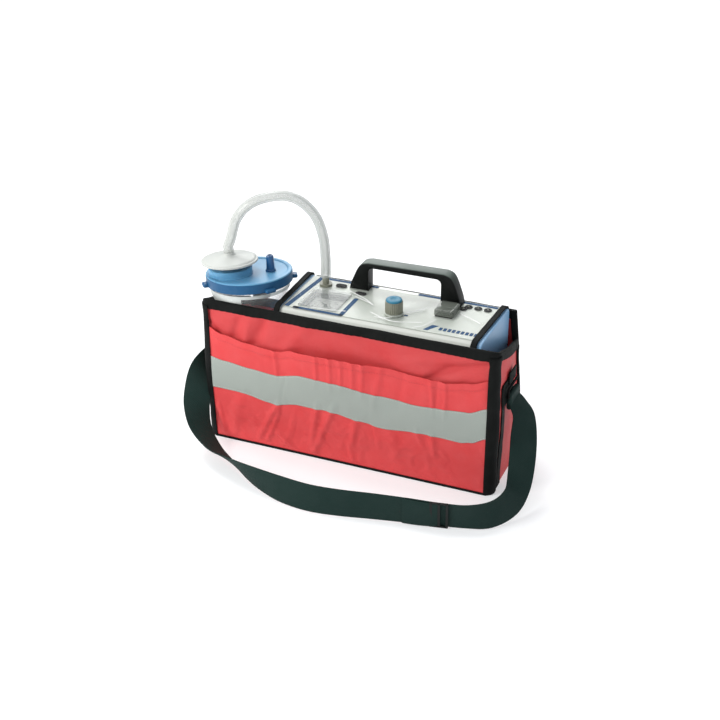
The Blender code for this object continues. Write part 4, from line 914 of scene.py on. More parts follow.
# ------------------------------------------------------------------ stage
class PUMP_OT_stage(PumpPiece, bpy.types.Operator):
    """Pale floor, soft lights and the camera"""
    bl_idname = "pump.stage"
    bl_label = "Stage"

    def execute(self, context):
        settings = context.scene.pump_stage
        scene = context.scene
        scene.view_settings.view_transform = "Standard"
        world = bpy.data.worlds.new("soft_room")
        world.use_nodes = True
        background = world.node_tree.nodes["Background"]
        background.inputs["Color"].default_value = (0.94, 0.965, 1.0, 1.0)
        background.inputs["Strength"].default_value = 0.56
        scene.world = world

        bm = bmesh.new()
        bmesh.ops.create_grid(bm, x_segments=1, y_segments=1, size=settings.floor / 2)
        mesh = bpy.data.meshes.new("floor")
        bm.to_mesh(mesh)
        bm.free()
        mesh.materials.append(look("floor").material)
        floor = bpy.data.objects.new("floor", mesh)
        scene.collection.objects.link(floor)

        sky = bpy.data.lights.new("sky_light", "SUN")
        sky.energy = settings.sky
        sky.angle = math.radians(24)
        sky_light = bpy.data.objects.new("sky_light", sky)
        sky_light.rotation_euler = Vector((0.45, -0.30, -1.0)).to_track_quat("-Z", "Y").to_euler()
        scene.collection.objects.link(sky_light)
        lights = [("key_light", (-0.80, -0.95, 0.80), 0.5, settings.key, (1.0, 0.985, 0.96)),
                  ("rim_light", (-0.85, 2.00, 1.25), 1.6, settings.rim, (1.0, 1.0, 1.0)),
                  ("fill_light", (1.8, -0.6, 0.8), 1.2, settings.fill, (0.90, 0.95, 1.0))]
        for name, place, size, power, tint in lights:
            lamp = bpy.data.lights.new(name, "AREA")
            lamp.shape = "DISK"
            lamp.size = size
            lamp.energy = power
            lamp.color = tint
            light = bpy.data.objects.new(name, lamp)
            light.location = place
            light.rotation_euler = (Vector((0, 0, 0.1)) - Vector(place)).to_track_quat("-Z", "Y").to_euler()
            scene.collection.objects.link(light)

        lens = bpy.data.cameras.new("camera")
        lens.lens = settings.lens
        lens.sensor_width = 36.0
        camera = bpy.data.objects.new("camera", lens)
        scene.collection.objects.link(camera)
        yaw, pitch, roll = math.radians(22.926), math.radians(28.0), math.radians(-0.18)
        aim = Matrix.Rotation(yaw, 4, "Z") @ Matrix.Rotation(math.pi / 2 - pitch, 4, "X")
        stand = Matrix.Translation((0.6380, -1.5082, 0.9987))
        camera.matrix_world = stand @ aim @ Matrix.Rotation(roll, 4, "Z")
        scene.camera = camera
        return {"FINISHED"}


# ------------------------------------------------------------------ soft routes
def strap_frames(steps):
    """(centre, edge direction, face direction) along the strap, in the bag's own frame."""
    centres = smooth_curve([p for p, _ in STRAP_ROUTE], steps)
    uppers = smooth_curve([w for _, w in STRAP_ROUTE], steps)
    frames = []
    for i, (co, up) in enumerate(zip(centres, uppers)):
        along = heading(centres, i)
        across = (up - along * up.dot(along)).normalized()
        frames.append((co, across, along.cross(across)))
    return frames


class PUMP_OT_strap(PumpPiece, bpy.types.Operator):
    """Flat shoulder strap from ring to ring along the floor"""
    bl_idname = "pump.strap"
    bl_label = "Shoulder Strap"

    def execute(self, context):
        frames = strap_frames(6)
        section = rounded((-STRAP_W / 2, -STRAP_T / 2), (STRAP_W / 2, STRAP_T / 2), 0.0007, 3)
        strap = build("strap_webbing", sweep(section, frames), "webbing", "shoulder_strap", sharp=60)
        co, across, face = frames[SLIDER_STEP]
        outer = -face if face.y > 0 else face
        lie = axes(co + outer * (STRAP_T / 2 + 0.0016) + Vector((0, 0, 0.0008)), across, face.cross(across))
        tall, wide = 0.0199, 0.0105
        bars = [rounded((-tall, x - 0.0016), (tall, x + 0.0016), 0.0010, 3) for x in (-wide, 0.0, wide)]
        bars += [rounded((y - 0.0011, -wide), (y + 0.0011, wide), 0.0008, 3)
                 for y in (0.0011 - tall, tall - 0.0011)]
        buckle = merge(*[plate(bar, -0.0012, 0.0012, 0.0006) for bar in bars])
        slider = build("strap_buckle", buckle, "black_plastic", "strap_slider", turn=BAG @ lie)
        steps = 7
        doubled = [(c + outer * (STRAP_T + 0.0004 + 0.0014 * math.sin(math.pi * k / steps)), a, n)
                   for k, (c, a, n) in enumerate(frames[SLIDER_STEP:SLIDER_STEP + steps + 1])]
        half = STRAP_W / 2 - 0.0006
        lap = sweep(rounded((-half, -0.0008), (half, 0.0008), 0.0007, 3), doubled)
        tail = build("strap_tail", lap, "webbing", sharp=60)
        return {"FINISHED"}


def transport(points):
    """(centre, side, up) frames that follow a round route without twisting."""
    frames = []
    side = None
    for i, co in enumerate(points):
        along = heading(points, i)
        if side is None:
            side = along.orthogonal().normalized()
        side = (side - along * side.dot(along)).normalized()
        frames.append((co, side, along.cross(side)))
    return frames


class PUMP_OT_hose(PumpPiece, bpy.types.Operator):
    """Vacuum hose from the filter's nipple, over and down to the panel's port"""
    bl_idname = "pump.hose"
    bl_label = "Vacuum Hose"

    def execute(self, context):
        settings = context.scene.pump_canister
        nipple = [JAR_FRAME @ Vector((*FILTER_AT, NIPPLE_TOP + rise)) - CENTRE
                  for rise in (0.0, 0.005, 0.010)]
        centres = smooth_curve(nipple + [Vector(p) for p in HOSE_ROUTE], 5)
        frames = transport(centres)
        wall = sweep(circle(HOSE_OUTSIDE / 2, 28), frames, capped=False)
        lining = sweep(circle(HOSE_OUTSIDE / 2 - settings.hose_wall, 28), frames, capped=False)
        bmesh.ops.reverse_faces(lining, faces=lining.faces)
        hose = build("hose_tube", merge(wall, lining), "hose_clear", "vacuum_hose", body="filter")
        return {"FINISHED"}


# ------------------------------------------------------------------ bag
class PUMP_OT_shell(PumpPiece, bpy.types.Operator):
    """Coated fabric tub with creases where the canister and the flap pull it"""
    bl_idname = "pump.shell"
    bl_label = "Bag Shell"

    def execute(self, context):
        bm = wall_patch(420, 84, lambda a: a * PERIMETER, lambda s, b: b * rim_height(s), cloth_off)
        bmesh.ops.remove_doubles(bm, verts=bm.verts, dist=1e-5)
        foot = [e for e in bm.edges if e.is_boundary and all(v.co.z < 1e-4 for v in e.verts)]
        bmesh.ops.contextual_create(bm, geom=foot)
        face_outward(bm)
        # The shell wears the darker copy of the fabric, as painted shade.
        solidify(build("bag_shell", bm, "shell_fabric_painted_shade", "bag_body", sharp=70), WALL)
        repaint("red_fabric", "bay_divider")
        return {"FINISHED"}


def rim_tape(drop):
    """Binding folded over the rim, puckered a little by its seam."""
    section = [(0.0016, -drop), (0.0021, -drop * 0.6), (0.0020, -drop * 0.25), (0.0017, 0.0000),
               (0.0008, 0.0013), (-0.0010, 0.0018), (-0.0028, 0.0013), (-0.0038, 0.0000),
               (-0.0041, -drop * 0.3), (-0.0037, -drop * 0.95), (-0.0027, -drop * 0.95),
               (-0.0026, -0.0006), (0.0002, -0.0006), (0.0004, -drop)]

    def place(a, b):
        s, k = a * PERIMETER, b * len(section)
        one, two = section[int(k) % len(section)], section[(int(k) + 1) % len(section)]
        out = one[0] + (two[0] - one[0]) * (k - int(k))
        rise = one[1] + (two[1] - one[1]) * (k - int(k))
        below = clamp(-rise / drop)
        pucker = 0.0004 * math.sin(s * math.tau / 0.009) * clamp(out / 0.001) * below
        top = rim_height(s)
        out += cloth_off(s, top + min(rise, 0.0)) + pucker + 0.0004 * ripple(s, 0, 0.02) * below
        co = wall_point(s, top, out)
        co.z = top + rise * (1 + 0.05 * ripple(s, 0, 0.03, 2.0))
        return co, (s, 0.002 * int(k) + rise)

    bm = grid(480, len(section), place)
    bmesh.ops.remove_doubles(bm, verts=bm.verts, dist=1e-5)
    face_outward(bm)
    build("rim_tape", bm, "black_tape", "rim_binding", sharp=60)


def corner_tape(name, at, top, width, *nodes):
    """Tape down a corner, centred on a place along the wall and ending at height top."""
    bm = wall_patch(16, 60, lambda a: at + (a - 0.5) * width, lambda s, b: 0.0005 + b * (top - 0.0005),
                    lambda s, z: cloth_off(s, z) + 0.0024 + 0.0003 * ripple(s, z, 0.015))
    solidify(build(name, bm, "black_tape", *nodes), 0.0009, 1.0)


def back_edge_tape():
    """Upright tape where the high back panel ends above the right end's rim."""
    corner = wall_point(SIDE_X + QUARTER * 1.7 + SIDE_Y, BACK_RIM)
    foot = wall_point(SIDE_X + QUARTER * 1.5 + SIDE_Y, 0.156)
    inset = Vector((-0.0012, -0.0010, 0.0012))
    edge = [(corner.lerp(foot, k / 8) + inset, Vector((1, 0, 0)), Vector((0, 1, 0))) for k in range(9)]
    bm = sweep(rounded((-0.0046, -0.0026), (0.0046, 0.0026), 0.0018, 4), edge)
    build("back_edge_tape", bm, "black_tape", sharp=50)


def end_trim(end, start, side):
    """Patch behind the strap's ring and the tape below it, on one end of the bag."""
    def on_end(y, z, out):
        s = start + SIDE_Y / 2 + side * y
        return wall_point(s, z, cloth_off(s, z) + out), (s, z)

    def patch(a, b):
        return on_end(-0.0400 + 0.0530 * a, 0.1180 + 0.0330 * b, 0.0016)

    def tape(a, b):
        z = 0.0008 + b * 0.1480
        return on_end(-0.0460 + 0.0110 * clamp(z / 0.126) + (a - 0.5) * 0.015, z, 0.0012)

    for kind, bm, thickness in (("patch", grid(20, 14, patch), 0.0012), ("tape", grid(6, 60, tape), 0.0010)):
        face_outward(bm)
        solidify(build(f"end_{kind}_{end}", bm, "black_tape"), thickness, 0.0)


class PUMP_OT_bindings(PumpPiece, bpy.types.Operator):
    """Binding over the rim, tape down the corners and trim on both ends"""
    bl_idname = "pump.bindings"
    bl_label = "Bindings"

    def execute(self, context):
        settings = context.scene.pump_bag
        rim_tape(settings.binding)
        front_left, front_right = PERIMETER - QUARTER / 2, SIDE_X + QUARTER / 2
        back_right, back_left = SIDE_X + QUARTER * 1.5 + SIDE_Y, 2 * SIDE_X + QUARTER * 2.5 + SIDE_Y
        corner_tape("corner_tape_left", front_left, 0.206, settings.tape, "corner_binding_left")
        corner_tape("corner_tape_right", front_right, 0.206, settings.tape, "corner_binding_right")
        corner_tape("corner_tape_back_right", back_right - 0.0040, 0.160, 0.0250)
        corner_tape("corner_tape_back_left", back_left, 0.148, settings.tape)
        back_edge_tape()
        end_trim("right", SIDE_X + QUARTER, 1)
        end_trim("left", 2 * SIDE_X + 3 * QUARTER + SIDE_Y, -1)
        return {"FINISHED"}


class PUMP_OT_pocket(PumpPiece, bpy.types.Operator):
    """Front pocket standing open along its top, with its reflective tape and seams"""
    bl_idname = "pump.pocket"
    bl_label = "Front Pocket"

    def execute(self, context):
        pitch = context.scene.pump_bag.pitch
        half, foot = 0.2022, 0.0030
        bm = wall_patch(300, 130, lambda a: front_s(-half + 2 * half * a),
                        lambda s, b: foot + b * (interp(POCKET_TOP, s - SIDE_X / 2) - foot), pocket_face)
        pocket = solidify(build("pocket_cloth", bm, "red_fabric", "front_pocket", sharp=80), 0.0012)
        # Black strip along the foot: partly the piping seam, partly painted contact shadow under the bag's
        # front.
        piping_and_shade = wall_patch(160, 2, lambda a: -0.003 + a * (SIDE_X + 0.006), lambda s, b: 0.0002 + b * 0.0030,
                            lambda s, z: 0.0021)
        face_outward(piping_and_shade)
        solidify(build("foot_piping_and_shade", piping_and_shade, "rubber"), 0.0012, 0.0)

        def band_z(s, b):
            x = s - SIDE_X / 2
            low, high = interp(BAND_LOW, x), interp(BAND_TOP, x)
            return low + b * (high - low)

        bm = wall_patch(300, 40, lambda a: front_s(-half + 0.001 + 2 * (half - 0.001) * a), band_z,
                        lambda s, z: pocket_face(s, z) + 0.0008)
        band = solidify(build("pocket_band", bm, "reflective_tape", "reflective_band", sharp=80), 0.0006)

        def seam(height, out, colour_name, name):
            def on_seam(x):
                return wall_point(front_s(x), height(x), pocket_face(front_s(x), height(x)) + out)

            spots = []
            total = int(2 * half / pitch)
            for k in range(total):
                x = -half + 2 * half * (k + 0.5) / total
                here, there = on_seam(x), on_seam(x + pitch / 2)
                spots.append((here, (there - here).normalized(), Vector((0, -1, 0))))
            return build(name, stitches(spots, pitch * 0.7), colour_name)

        seams = [seam(lambda x: interp(BAND_TOP, x) - 0.0018, 0.0009, "pale_thread", "band_seam_upper"),
                 seam(lambda x: interp(BAND_LOW, x) + 0.0018, 0.0009, "pale_thread", "band_seam_lower"),
                 seam(lambda x: interp(POCKET_TOP, x) - 0.0105, 0.0002, "red_thread", "hem_seam")]
        return {"FINISHED"}


# ------------------------------------------------------------------ window film
COVER_DROP = 0.018
FILM_X = (-0.1022, 0.1717)


def cover_profile(offset):
    """(y, z) points of the cover over the casing's top, from its front hem to its back hem."""
    front, back, top = CASE_Y[0] - offset, CASE_Y[1] + offset, CASE_TOP + 0.0009 + offset
    hem = CASE_TOP - COVER_DROP
    near, far = 0.012 + offset, 0.008 + offset
    over = arc(front + near, top - near, near, 180, 90, 8) + arc(back - far, top - far, far, 90, 0, 8)
    return [(front, hem)] + over + [(back, hem)]


def cover_point(x, v, offset):
    """(point, distance from the front hem) v of the way over the cover, offset metres off it."""
    base, lifted = cover_profile(0.0), cover_profile(0.001)
    runs = [math.dist(a, b) for a, b in zip(base, base[1:])]
    want, i = v * sum(runs), 0
    while want > runs[i] and i < len(runs) - 1:
        want -= runs[i]
        i += 1
    t = clamp(want / runs[i])
    on, off = [[a + (b - a) * t for a, b in zip(line[i], line[i + 1])] for line in (base, lifted)]
    y, z = [a + (b - a) * offset / 0.001 for a, b in zip(on, off)]
    return Vector((x, y, z)), sum(runs[:i]) + want


def cover_length():
    """Length of the cover from hem to hem."""
    base = cover_profile(0.0)
    return sum(math.dist(a, b) for a, b in zip(base, base[1:]))


# Folds of the film as (x, y, x, y, width, height), and the white crease lines on it as (x, y) points, painted
# highlights along the creases.
FILM_FOLDS = [
    (-0.036, 0.028, 0.030, -0.006, 0.0016, 0.0010), (0.030, -0.006, 0.060, -0.040, 0.0016, 0.0008),
    (-0.020, -0.056, 0.150, -0.050, 0.0014, 0.0007), (0.070, 0.000, 0.100, -0.018, 0.0014, 0.0009),
    (-0.095, -0.048, -0.050, -0.057, 0.0016, 0.0009), (0.130, -0.010, 0.166, -0.052, 0.0020, 0.0010),
    (-0.030, 0.056, 0.110, 0.058, 0.0014, 0.0008), (0.136, 0.050, 0.168, 0.010, 0.0018, 0.0008),
]
GLINT_LINES = [[(-0.0330, 0.0215), (-0.0150, 0.0120), (0.0018, 0.0023), (0.0150, -0.0090)],
                [(-0.0182, 0.0078), (-0.0030, 0.0010), (0.0133, -0.0066)],
                [(0.0290, -0.0405), (0.0450, -0.0385), (0.0605, -0.0200), (0.0826, 0.0060)],
                [(0.0620, -0.0145), (0.0720, -0.0060), (0.0860, 0.0130)],
                [(0.0200, -0.0300), (0.0560, -0.0440), (0.0934, -0.0330)],
                [(0.0874, -0.0510), (0.0980, -0.0400), (0.1080, -0.0180)],
                [(-0.0600, -0.0470), (-0.0300, -0.0440), (-0.0120, -0.0400)],
                [(0.1330, 0.0100), (0.1500, 0.0020), (0.1660, -0.0080)]]


def hole(at, radius, z0, z1, steps=40):
    """Round cutter between two heights."""
    return plate(circle(radius, steps, at), z0, z1)


def film_crease_glint(route):
    """Low white ridge along a crease of the film: a painted highlight where the crease catches the light."""
    line = smooth_curve([(x, y, CASE_TOP + 0.0032) for x, y in route], 6)
    up = Vector((0, 0, 1))
    frames = [(co, heading(line, i).cross(up), up) for i, co in enumerate(line)]
    return sweep([(0.0006, 0.0), (0.0003, 0.0005), (-0.0003, 0.0005), (-0.0006, 0.0)], frames)


def film_tape(name, node, front, back):
    """Tape that binds one end of the film, from its x at the front hem to its x at the back one."""
    def place(a, b):
        x = front + (back - front) * b + (a - 0.5) * 0.0078
        return cover_point(x, b, 0.0030 + 0.0004 * ripple(x, b, 0.1, 5.0))[0], (x, b * cover_length())
    return solidify(build(name, grid(6, 90, place), "black_tape", node, sharp=70), 0.0016)


class PUMP_OT_window(PumpPiece, bpy.types.Operator):
    """Clear film over the unit's top, bound at both ends"""
    bl_idname = "pump.window"
    bl_label = "Window Film"

    def execute(self, context):
        x0, x1 = FILM_X

        def film(a, b):
            x = x0 + (x1 - x0) * a
            flat, run = cover_point(x, b, 0.0)
            wrinkle = fold_height(x, flat.y, FILM_FOLDS) + 0.0006 * max(0.0, ripple(x, run, 0.030))
            return cover_point(x, b, 0.0020 + wrinkle)[0], (x, run)

        sheet = build("film_sheet", grid(180, 110, film), "clear_film", "window_film", sharp=80)
        solidify(sheet, 0.0004)
        bpy.context.view_layer.objects.active = sheet
        bpy.ops.object.modifier_apply(modifier="thickness")
        z0, z1 = 0.205, 0.235
        legs = [block((x, 0.031, z0), (x + 0.0325, 0.0545, z1))
                for x in (HANDLE_X - 0.0825, HANDLE_X + 0.0500)]
        switch = block((0.0980, -0.0070, z0), (0.1280, 0.0280, z1))
        carve(sheet, *legs, hole(PORT_AT, 0.0105, z0, z1), hole(KNOB_AT, 0.0165, z0, z1), switch)
        glint_ridges = merge(*[film_crease_glint(route) for route in GLINT_LINES])
        trims = [build("film_crease_glints", glint_ridges, "film_crease_glint", sharp=60),
                 film_tape("film_tape_left", "film_binding_left", -0.1030, -0.1090),
                 film_tape("film_tape_right", "film_binding_right", 0.1735, 0.1790)]
        return {"FINISHED"}


class PUMP_OT_fittings(PumpPiece, bpy.types.Operator):
    """Strap rings and the webbing that sews them on"""
    bl_idname = "pump.fittings"
    bl_label = "Strap Fittings"

    def execute(self, context):
        for name in ("right", "left"):
            low, high = from_bag(f"strap_ring_{name}")
            mid = (low + high) / 2
            r = 0.0017
            path = [(mid.y + y * (high.y - low.y - 2 * r) / 2, mid.z + z * (high.z - low.z - 2 * r) / 2)
                    for y, z in rounded((-1, -1), (1, 1), 0.20, 5)]
            frames = []
            for i, (y, z) in enumerate(path + path[:1]):
                a, b = path[i - 1], path[(i + 1) % len(path)]
                along = Vector((0, b[0] - a[0], b[1] - a[1])).normalized()
                frames.append((Vector((mid.x, y, z)), Vector((1, 0, 0)), along.cross(Vector((1, 0, 0)))))
            ring = sweep(circle(r, 12), frames, capped=False)
            bmesh.ops.remove_doubles(ring, verts=ring.verts, dist=1e-6)
            face_outward(ring)
            # The ring takes the near-black rubber finish as painted shade: it sits in the shadow at the bag's
            # end.
            build(f"ring_{name}", ring, "rubber", f"strap_ring_{name}", sharp=60)
            loop_low = Vector((mid.x - 0.0036, mid.y - 0.0185, low.z - 0.0180))
            loop_high = Vector((mid.x + 0.0036, mid.y + 0.0185, low.z + 0.0052))
            build(f"ring_wrap_{name}", block(loop_low, loop_high, 0.0032, 4), "webbing")
            low, high = from_bag(f"anchor_webbing_{name}")
            build(f"anchor_{name}", block(low, high, 0.0006), "black_tape", f"anchor_webbing_{name}")
        return {"FINISHED"}


# ------------------------------------------------------------------ unit
class PUMP_OT_casing(PumpPiece, bpy.types.Operator):
    """Casing, its printed panel and the graphics on it"""
    bl_idname = "pump.casing"
    bl_label = "Casing and Panel"

    def execute(self, context):
        repaint("case_white", "case_sleeve")
        repaint("case_blue", "end_cap_left", "end_cap_right")
        repaint("label_grey", "panel_label")
        repaint("rubber", "foot_front", "foot_back")
        z0, z1 = PANEL_Z + 0.00002, PANEL_Z + 0.00016
        blue = [rounded((-0.0850, -0.0525), (-0.0760, -0.0465), 0.0022, 3),
                rounded((-0.0850, -0.0522), (-0.0125, -0.0466), 0.0018, 2),
                rounded((-0.0184, -0.0512), (-0.0120, 0.0060), 0.0018, 3),
                [(-0.0978, -0.0505), (-0.0908, -0.0505), (-0.0828, 0.0525), (-0.0898, 0.0525)],
                rounded((-0.0835, 0.0470), (-0.0010, 0.0530), 0.0015, 3),
                rounded((0.0580, 0.0470), (0.1715, 0.0530), 0.0015, 3),
                rounded((0.0625, -0.0190), (0.0680, -0.0155), 0.0012, 3),
                [(0.1000, -0.0470), (0.1060, -0.0470), (0.1165, -0.0300), (0.1070, -0.0300)]]
        blue += [rounded((x, -0.0415), (x + 0.0044, -0.0330), 0.0008, 2)
                 for x in (0.1190 + 0.0060 * k for k in range(9))]
        build("panel_print_blue", merge(*[plate(points, z0, z1) for points in blue]), "print_blue")
        white = [rounded((0.0000, 0.0470), (0.0570, 0.0530), 0.0015, 3)]
        build("panel_print_white", merge(*[plate(points, z0, z1) for points in white]), "print_white")
        return {"FINISHED"}


class PUMP_OT_handle(PumpPiece, bpy.types.Operator):
    """Moulded carrying handle with sloping shoulders"""
    bl_idname = "pump.handle"
    bl_label = "Carrying Handle"

    def execute(self, context):
        low, high = from_bag("carry_handle")
        inner_half, foot_half, grip_z, r = 0.0515, 0.0805, 0.2510, 0.0070
        side = smooth_curve([(0.0000, 0.00, 0), (0.0022, 0.22, 0), (0.0058, 0.46, 0), (0.0098, 0.70, 0),
                             (0.0136, 0.86, 0), (0.0178, 0.95, 0), (0.0250, 1.00, 0)], 4)
        rise = high.z - low.z
        outer = [(HANDLE_X + foot_half - p.x, low.z + rise * p.y) for p in side]
        outer += [(HANDLE_X - 0.0010 - foot_half + 1.12 * p.x, low.z + (rise - 0.0018) * p.y)
                  for p in side[::-1]]
        arch = [(inner_half, low.z)] + arc(inner_half - r, grip_z - r, r, 0, 90, 8)
        inner = [(HANDLE_X + x, z) for x, z in arch] + [(HANDLE_X - 0.0022 - x, z) for x, z in arch[::-1]]
        bm = plate(outer + inner[::-1], -high.y, -low.y)
        bmesh.ops.remove_doubles(bm, verts=bm.verts, dist=1e-6)
        faces = [e for e in bm.edges if abs(e.verts[0].co.z - e.verts[1].co.z) < 1e-7]
        bmesh.ops.bevel(bm, geom=faces, offset=0.0032, segments=4, profile=0.5, affect="EDGES", material=-1,
                        clamp_overlap=True)
        bmesh.ops.rotate(bm, cent=(0, 0, 0), matrix=Matrix.Rotation(math.pi / 2, 3, "X"), verts=bm.verts)
        face_outward(bm)
        build("handle_grip", bm, "handle_black", "carry_handle", sharp=35)
        repaint("steel", "handle_screw_left", "handle_screw_right")
        return {"FINISHED"}


class PUMP_OT_gauge(PumpPiece, bpy.types.Operator):
    """Vacuum gauge with its printed dial, needle and clear lens"""
    bl_idname = "pump.gauge"
    bl_label = "Vacuum Gauge"

    def execute(self, context):
        repaint("black_plastic", "gauge_housing")
        repaint("white_dial", "gauge_dial")
        repaint("needle_dark", "gauge_needle")
        face = from_bag("gauge_dial")[1].z
        x, y = middle("gauge_dial").xy
        ticks = context.scene.pump_unit.ticks
        marks = []
        for k in range(ticks):
            long = 0.0042 if k % 4 == 0 else 0.0024
            tick = block((0.0195 - long, -0.00028, face + 0.00002), (0.0195, 0.00028, face + 0.00014))
            turn = Matrix.Rotation(math.radians(-40 + 260 * k / (ticks - 1)), 4, "Z")
            bmesh.ops.transform(tick, matrix=Matrix.Translation((x, y, 0)) @ turn, verts=tick.verts)
            marks.append(tick)
        build("dial_marks", merge(*marks), "needle_dark")
        low, high = from_bag("gauge_lens")
        flange = plate(rounded(low.xy, high.xy, 0.0050, 6), PANEL_Z + 0.0003, high.z + 0.0012, 0.0011, 3)
        build("gauge_window", flange, "lens_grey", "gauge_lens")
        return {"FINISHED"}


def turned_at(profile, node, steps=48):
    """Turned piece standing on the middle of a node of the unit."""
    where = middle(node)
    return turned(profile, steps, (where.x, where.y, 0))


def knob():
    """Ribbed regulator knob on its foot, with its coloured cap."""
    low, high = from_bag("knob_cap")
    where = middle("knob_cap")
    base = PANEL_Z + 0.0005
    foot = turned_at([(0, base), (0.0124, base), (0.0128, base + 0.0006), (0.0128, base + 0.0022),
                      (0.0120, base + 0.0030), (0, base + 0.0030)], "knob_cap")
    build("knob_foot", foot, "label_grey", body="knob")
    corners = bpy.context.scene.pump_unit.ribs * 4
    ribbed = []
    for k in range(corners):
        r = 0.01195 if k % 4 < 2 else 0.01130
        a = math.tau * k / corners
        ribbed.append((where.x + r * math.cos(a), where.y + r * math.sin(a)))
    body = plate(ribbed, base + 0.0034, low.z - 0.0004, 0.0005, 2)
    build("knob_grip", body, "knob_grey", "regulator_knob", body="knob", sharp=30)
    r, top = (high.x - low.x) / 2, high.z
    cap = turned_at([(0, low.z), (r, low.z), (r, top - 0.0012), (r - 0.0005, top - 0.0004), (r - 0.0014, top),
                     (0.0040, top + 0.0002), (0.0030, top - 0.0004), (0, top - 0.0005)], "knob_cap")
    build("knob_button", cap, "cap_blue", "knob_cap", body="knob")


def panel_plugs():
    """Oval rubber rims round the charging socket and the fuse holder."""
    ovals = []
    for node in ("charge_socket", "fuse_holder"):
        low, high = from_bag(node)
        at = middle(node)
        reach, depth = (high.x - low.x) / 2 + 0.0008, (high.y - low.y) / 2 + 0.0008
        oval = rounded((at.x - reach, at.y - depth), (at.x + reach, at.y + depth), depth * 0.96, 6)
        ovals.append(plate(oval, PANEL_Z + 0.0003, high.z + 0.0002, 0.0006, 2))
    build("panel_plugs", merge(*ovals), "rubber")


def switch_hood():
    """Smoked cover over the switch, hollow from below."""
    low, high = from_bag("switch_cover")
    cover = plate(rounded(low.xy, high.xy, 0.0035, 5), low.z, high.z, 0.0024, 4)
    under = [f for f in cover.faces if f.normal.z < -0.9]
    bmesh.ops.inset_region(cover, faces=under, thickness=0.0012, use_even_offset=True)
    inner = [f for f in cover.faces if f.normal.z < -0.9 and f.calc_area() > 1e-4]
    moved = bmesh.ops.extrude_face_region(cover, geom=inner)["geom"]
    roof = [g for g in moved if isinstance(g, bmesh.types.BMVert)]
    bmesh.ops.translate(cover, vec=(0, 0, 0.0060), verts=roof)
    bmesh.ops.delete(cover, geom=inner, context="FACES")
    face_outward(cover)
    build("switch_hood", cover, "smoke_cover", "switch_cover", sharp=30)


def indicators():
    """Small lamps in round dark rims."""
    top = PANEL_Z + 0.0004
    rim = [(0.0016, top), (0.0054, top), (0.0053, top + 0.0009), (0.0038, top + 0.0015),
           (0.0022, top + 0.0013), (0.0016, top + 0.0004)]
    lamps, rings = [], []
    for x, y in LED_AT:
        lamp = bmesh.new()
        bmesh.ops.create_icosphere(lamp, subdivisions=3, radius=0.0011)
        bmesh.ops.translate(lamp, vec=(x, y, PANEL_Z + 0.0014), verts=lamp.verts)
        lamps.append(lamp)
        rings.append(turned(rim, 32, (x, y, 0)))
    build("indicator_lamps", merge(*lamps), "knob_grey")
    build("indicator_rings", merge(*rings), "rubber")


class PUMP_OT_controls(PumpPiece, bpy.types.Operator):
    """Regulator knob, power switch under its cover, indicators, charging socket, fuse and vacuum port"""
    bl_idname = "pump.controls"
    bl_label = "Panel Controls"

    def execute(self, context):
        repaint("brass", "regulator_valve")
        repaint("knob_grey", "vacuum_port")
        repaint("black_plastic", "switch_body", "switch_rocker", "indicator_block", "fuse_holder")
        repaint("rubber", "charge_socket")
        knob()
        panel_plugs()
        switch_hood()
        indicators()
        return {"FINISHED"}


# ------------------------------------------------------------------ canister
def canister_piece(name, profile, finish, body, *nodes, at=(0, 0), extra=()):
    """Turned piece on the jar's axis or beside it, with any unturned shapes of it."""
    bm = turned(profile, bpy.context.scene.pump_canister.steps, (*at, 0))
    if extra:
        bm = merge(bm, *extra)
    return build(name, bm, finish, *nodes, body=body, turn=JAR_FRAME, sharp=35)


class PUMP_OT_jar(PumpPiece, bpy.types.Operator):
    """Clear collection jar that leans in its bay"""
    bl_idname = "pump.jar"
    bl_label = "Jar"

    def execute(self, context):
        wall = 0.0018
        neck = LID_TOP - 0.0050
        outer = [(0.0360, 0.0), (0.0380, 0.0006), (0.0388, 0.0020), (0.0490, 0.1900), (0.0506, 0.1960),
                 (0.0540, 0.2040), (0.0550, 0.2080), (0.0550, LID_TOP - 0.0180), (0.0535, LID_TOP - 0.0165),
                 (0.0535, neck)]
        inner = [(max(r - wall, 0), z + (wall if z < 0.002 else 0.0)) for r, z in outer]
        profile = [(0, 0.0008), (0.0340, 0.0008)] + outer + inner[::-1] + [(0, wall + 0.0010)]
        canister_piece("jar_body", profile, "clear_plastic", "jar", "jar")

        def frosted(first, last, low, high):
            """Frosted skin on the jar between two bearings in degrees and two heights."""
            def place(a, b):
                z = low + b * (high - low)
                turn = math.radians(first + a * (last - first))
                (r0, z0), (r1, z1) = next(pair for pair in zip(outer, outer[1:]) if pair[1][1] >= z)
                r = r0 + (r1 - r0) * (z - z0) / (z1 - z0) + 0.0003
                return Vector((r * math.cos(turn), r * math.sin(turn), z)), (turn * r, z)
            return grid(48, 40, place)

        scale = merge(frosted(150, 284, 0.030, 0.2130), frosted(284, 510, 0.2085, 0.2130))
        build("jar_scale", scale, "jar_frost", body="jar", turn=JAR_FRAME, sharp=80)
        repaint("case_white", "float_cage")
        repaint("spigot_blue", "float_ball")
        repaint("rubber", "lid_seal")
        return {"FINISHED"}


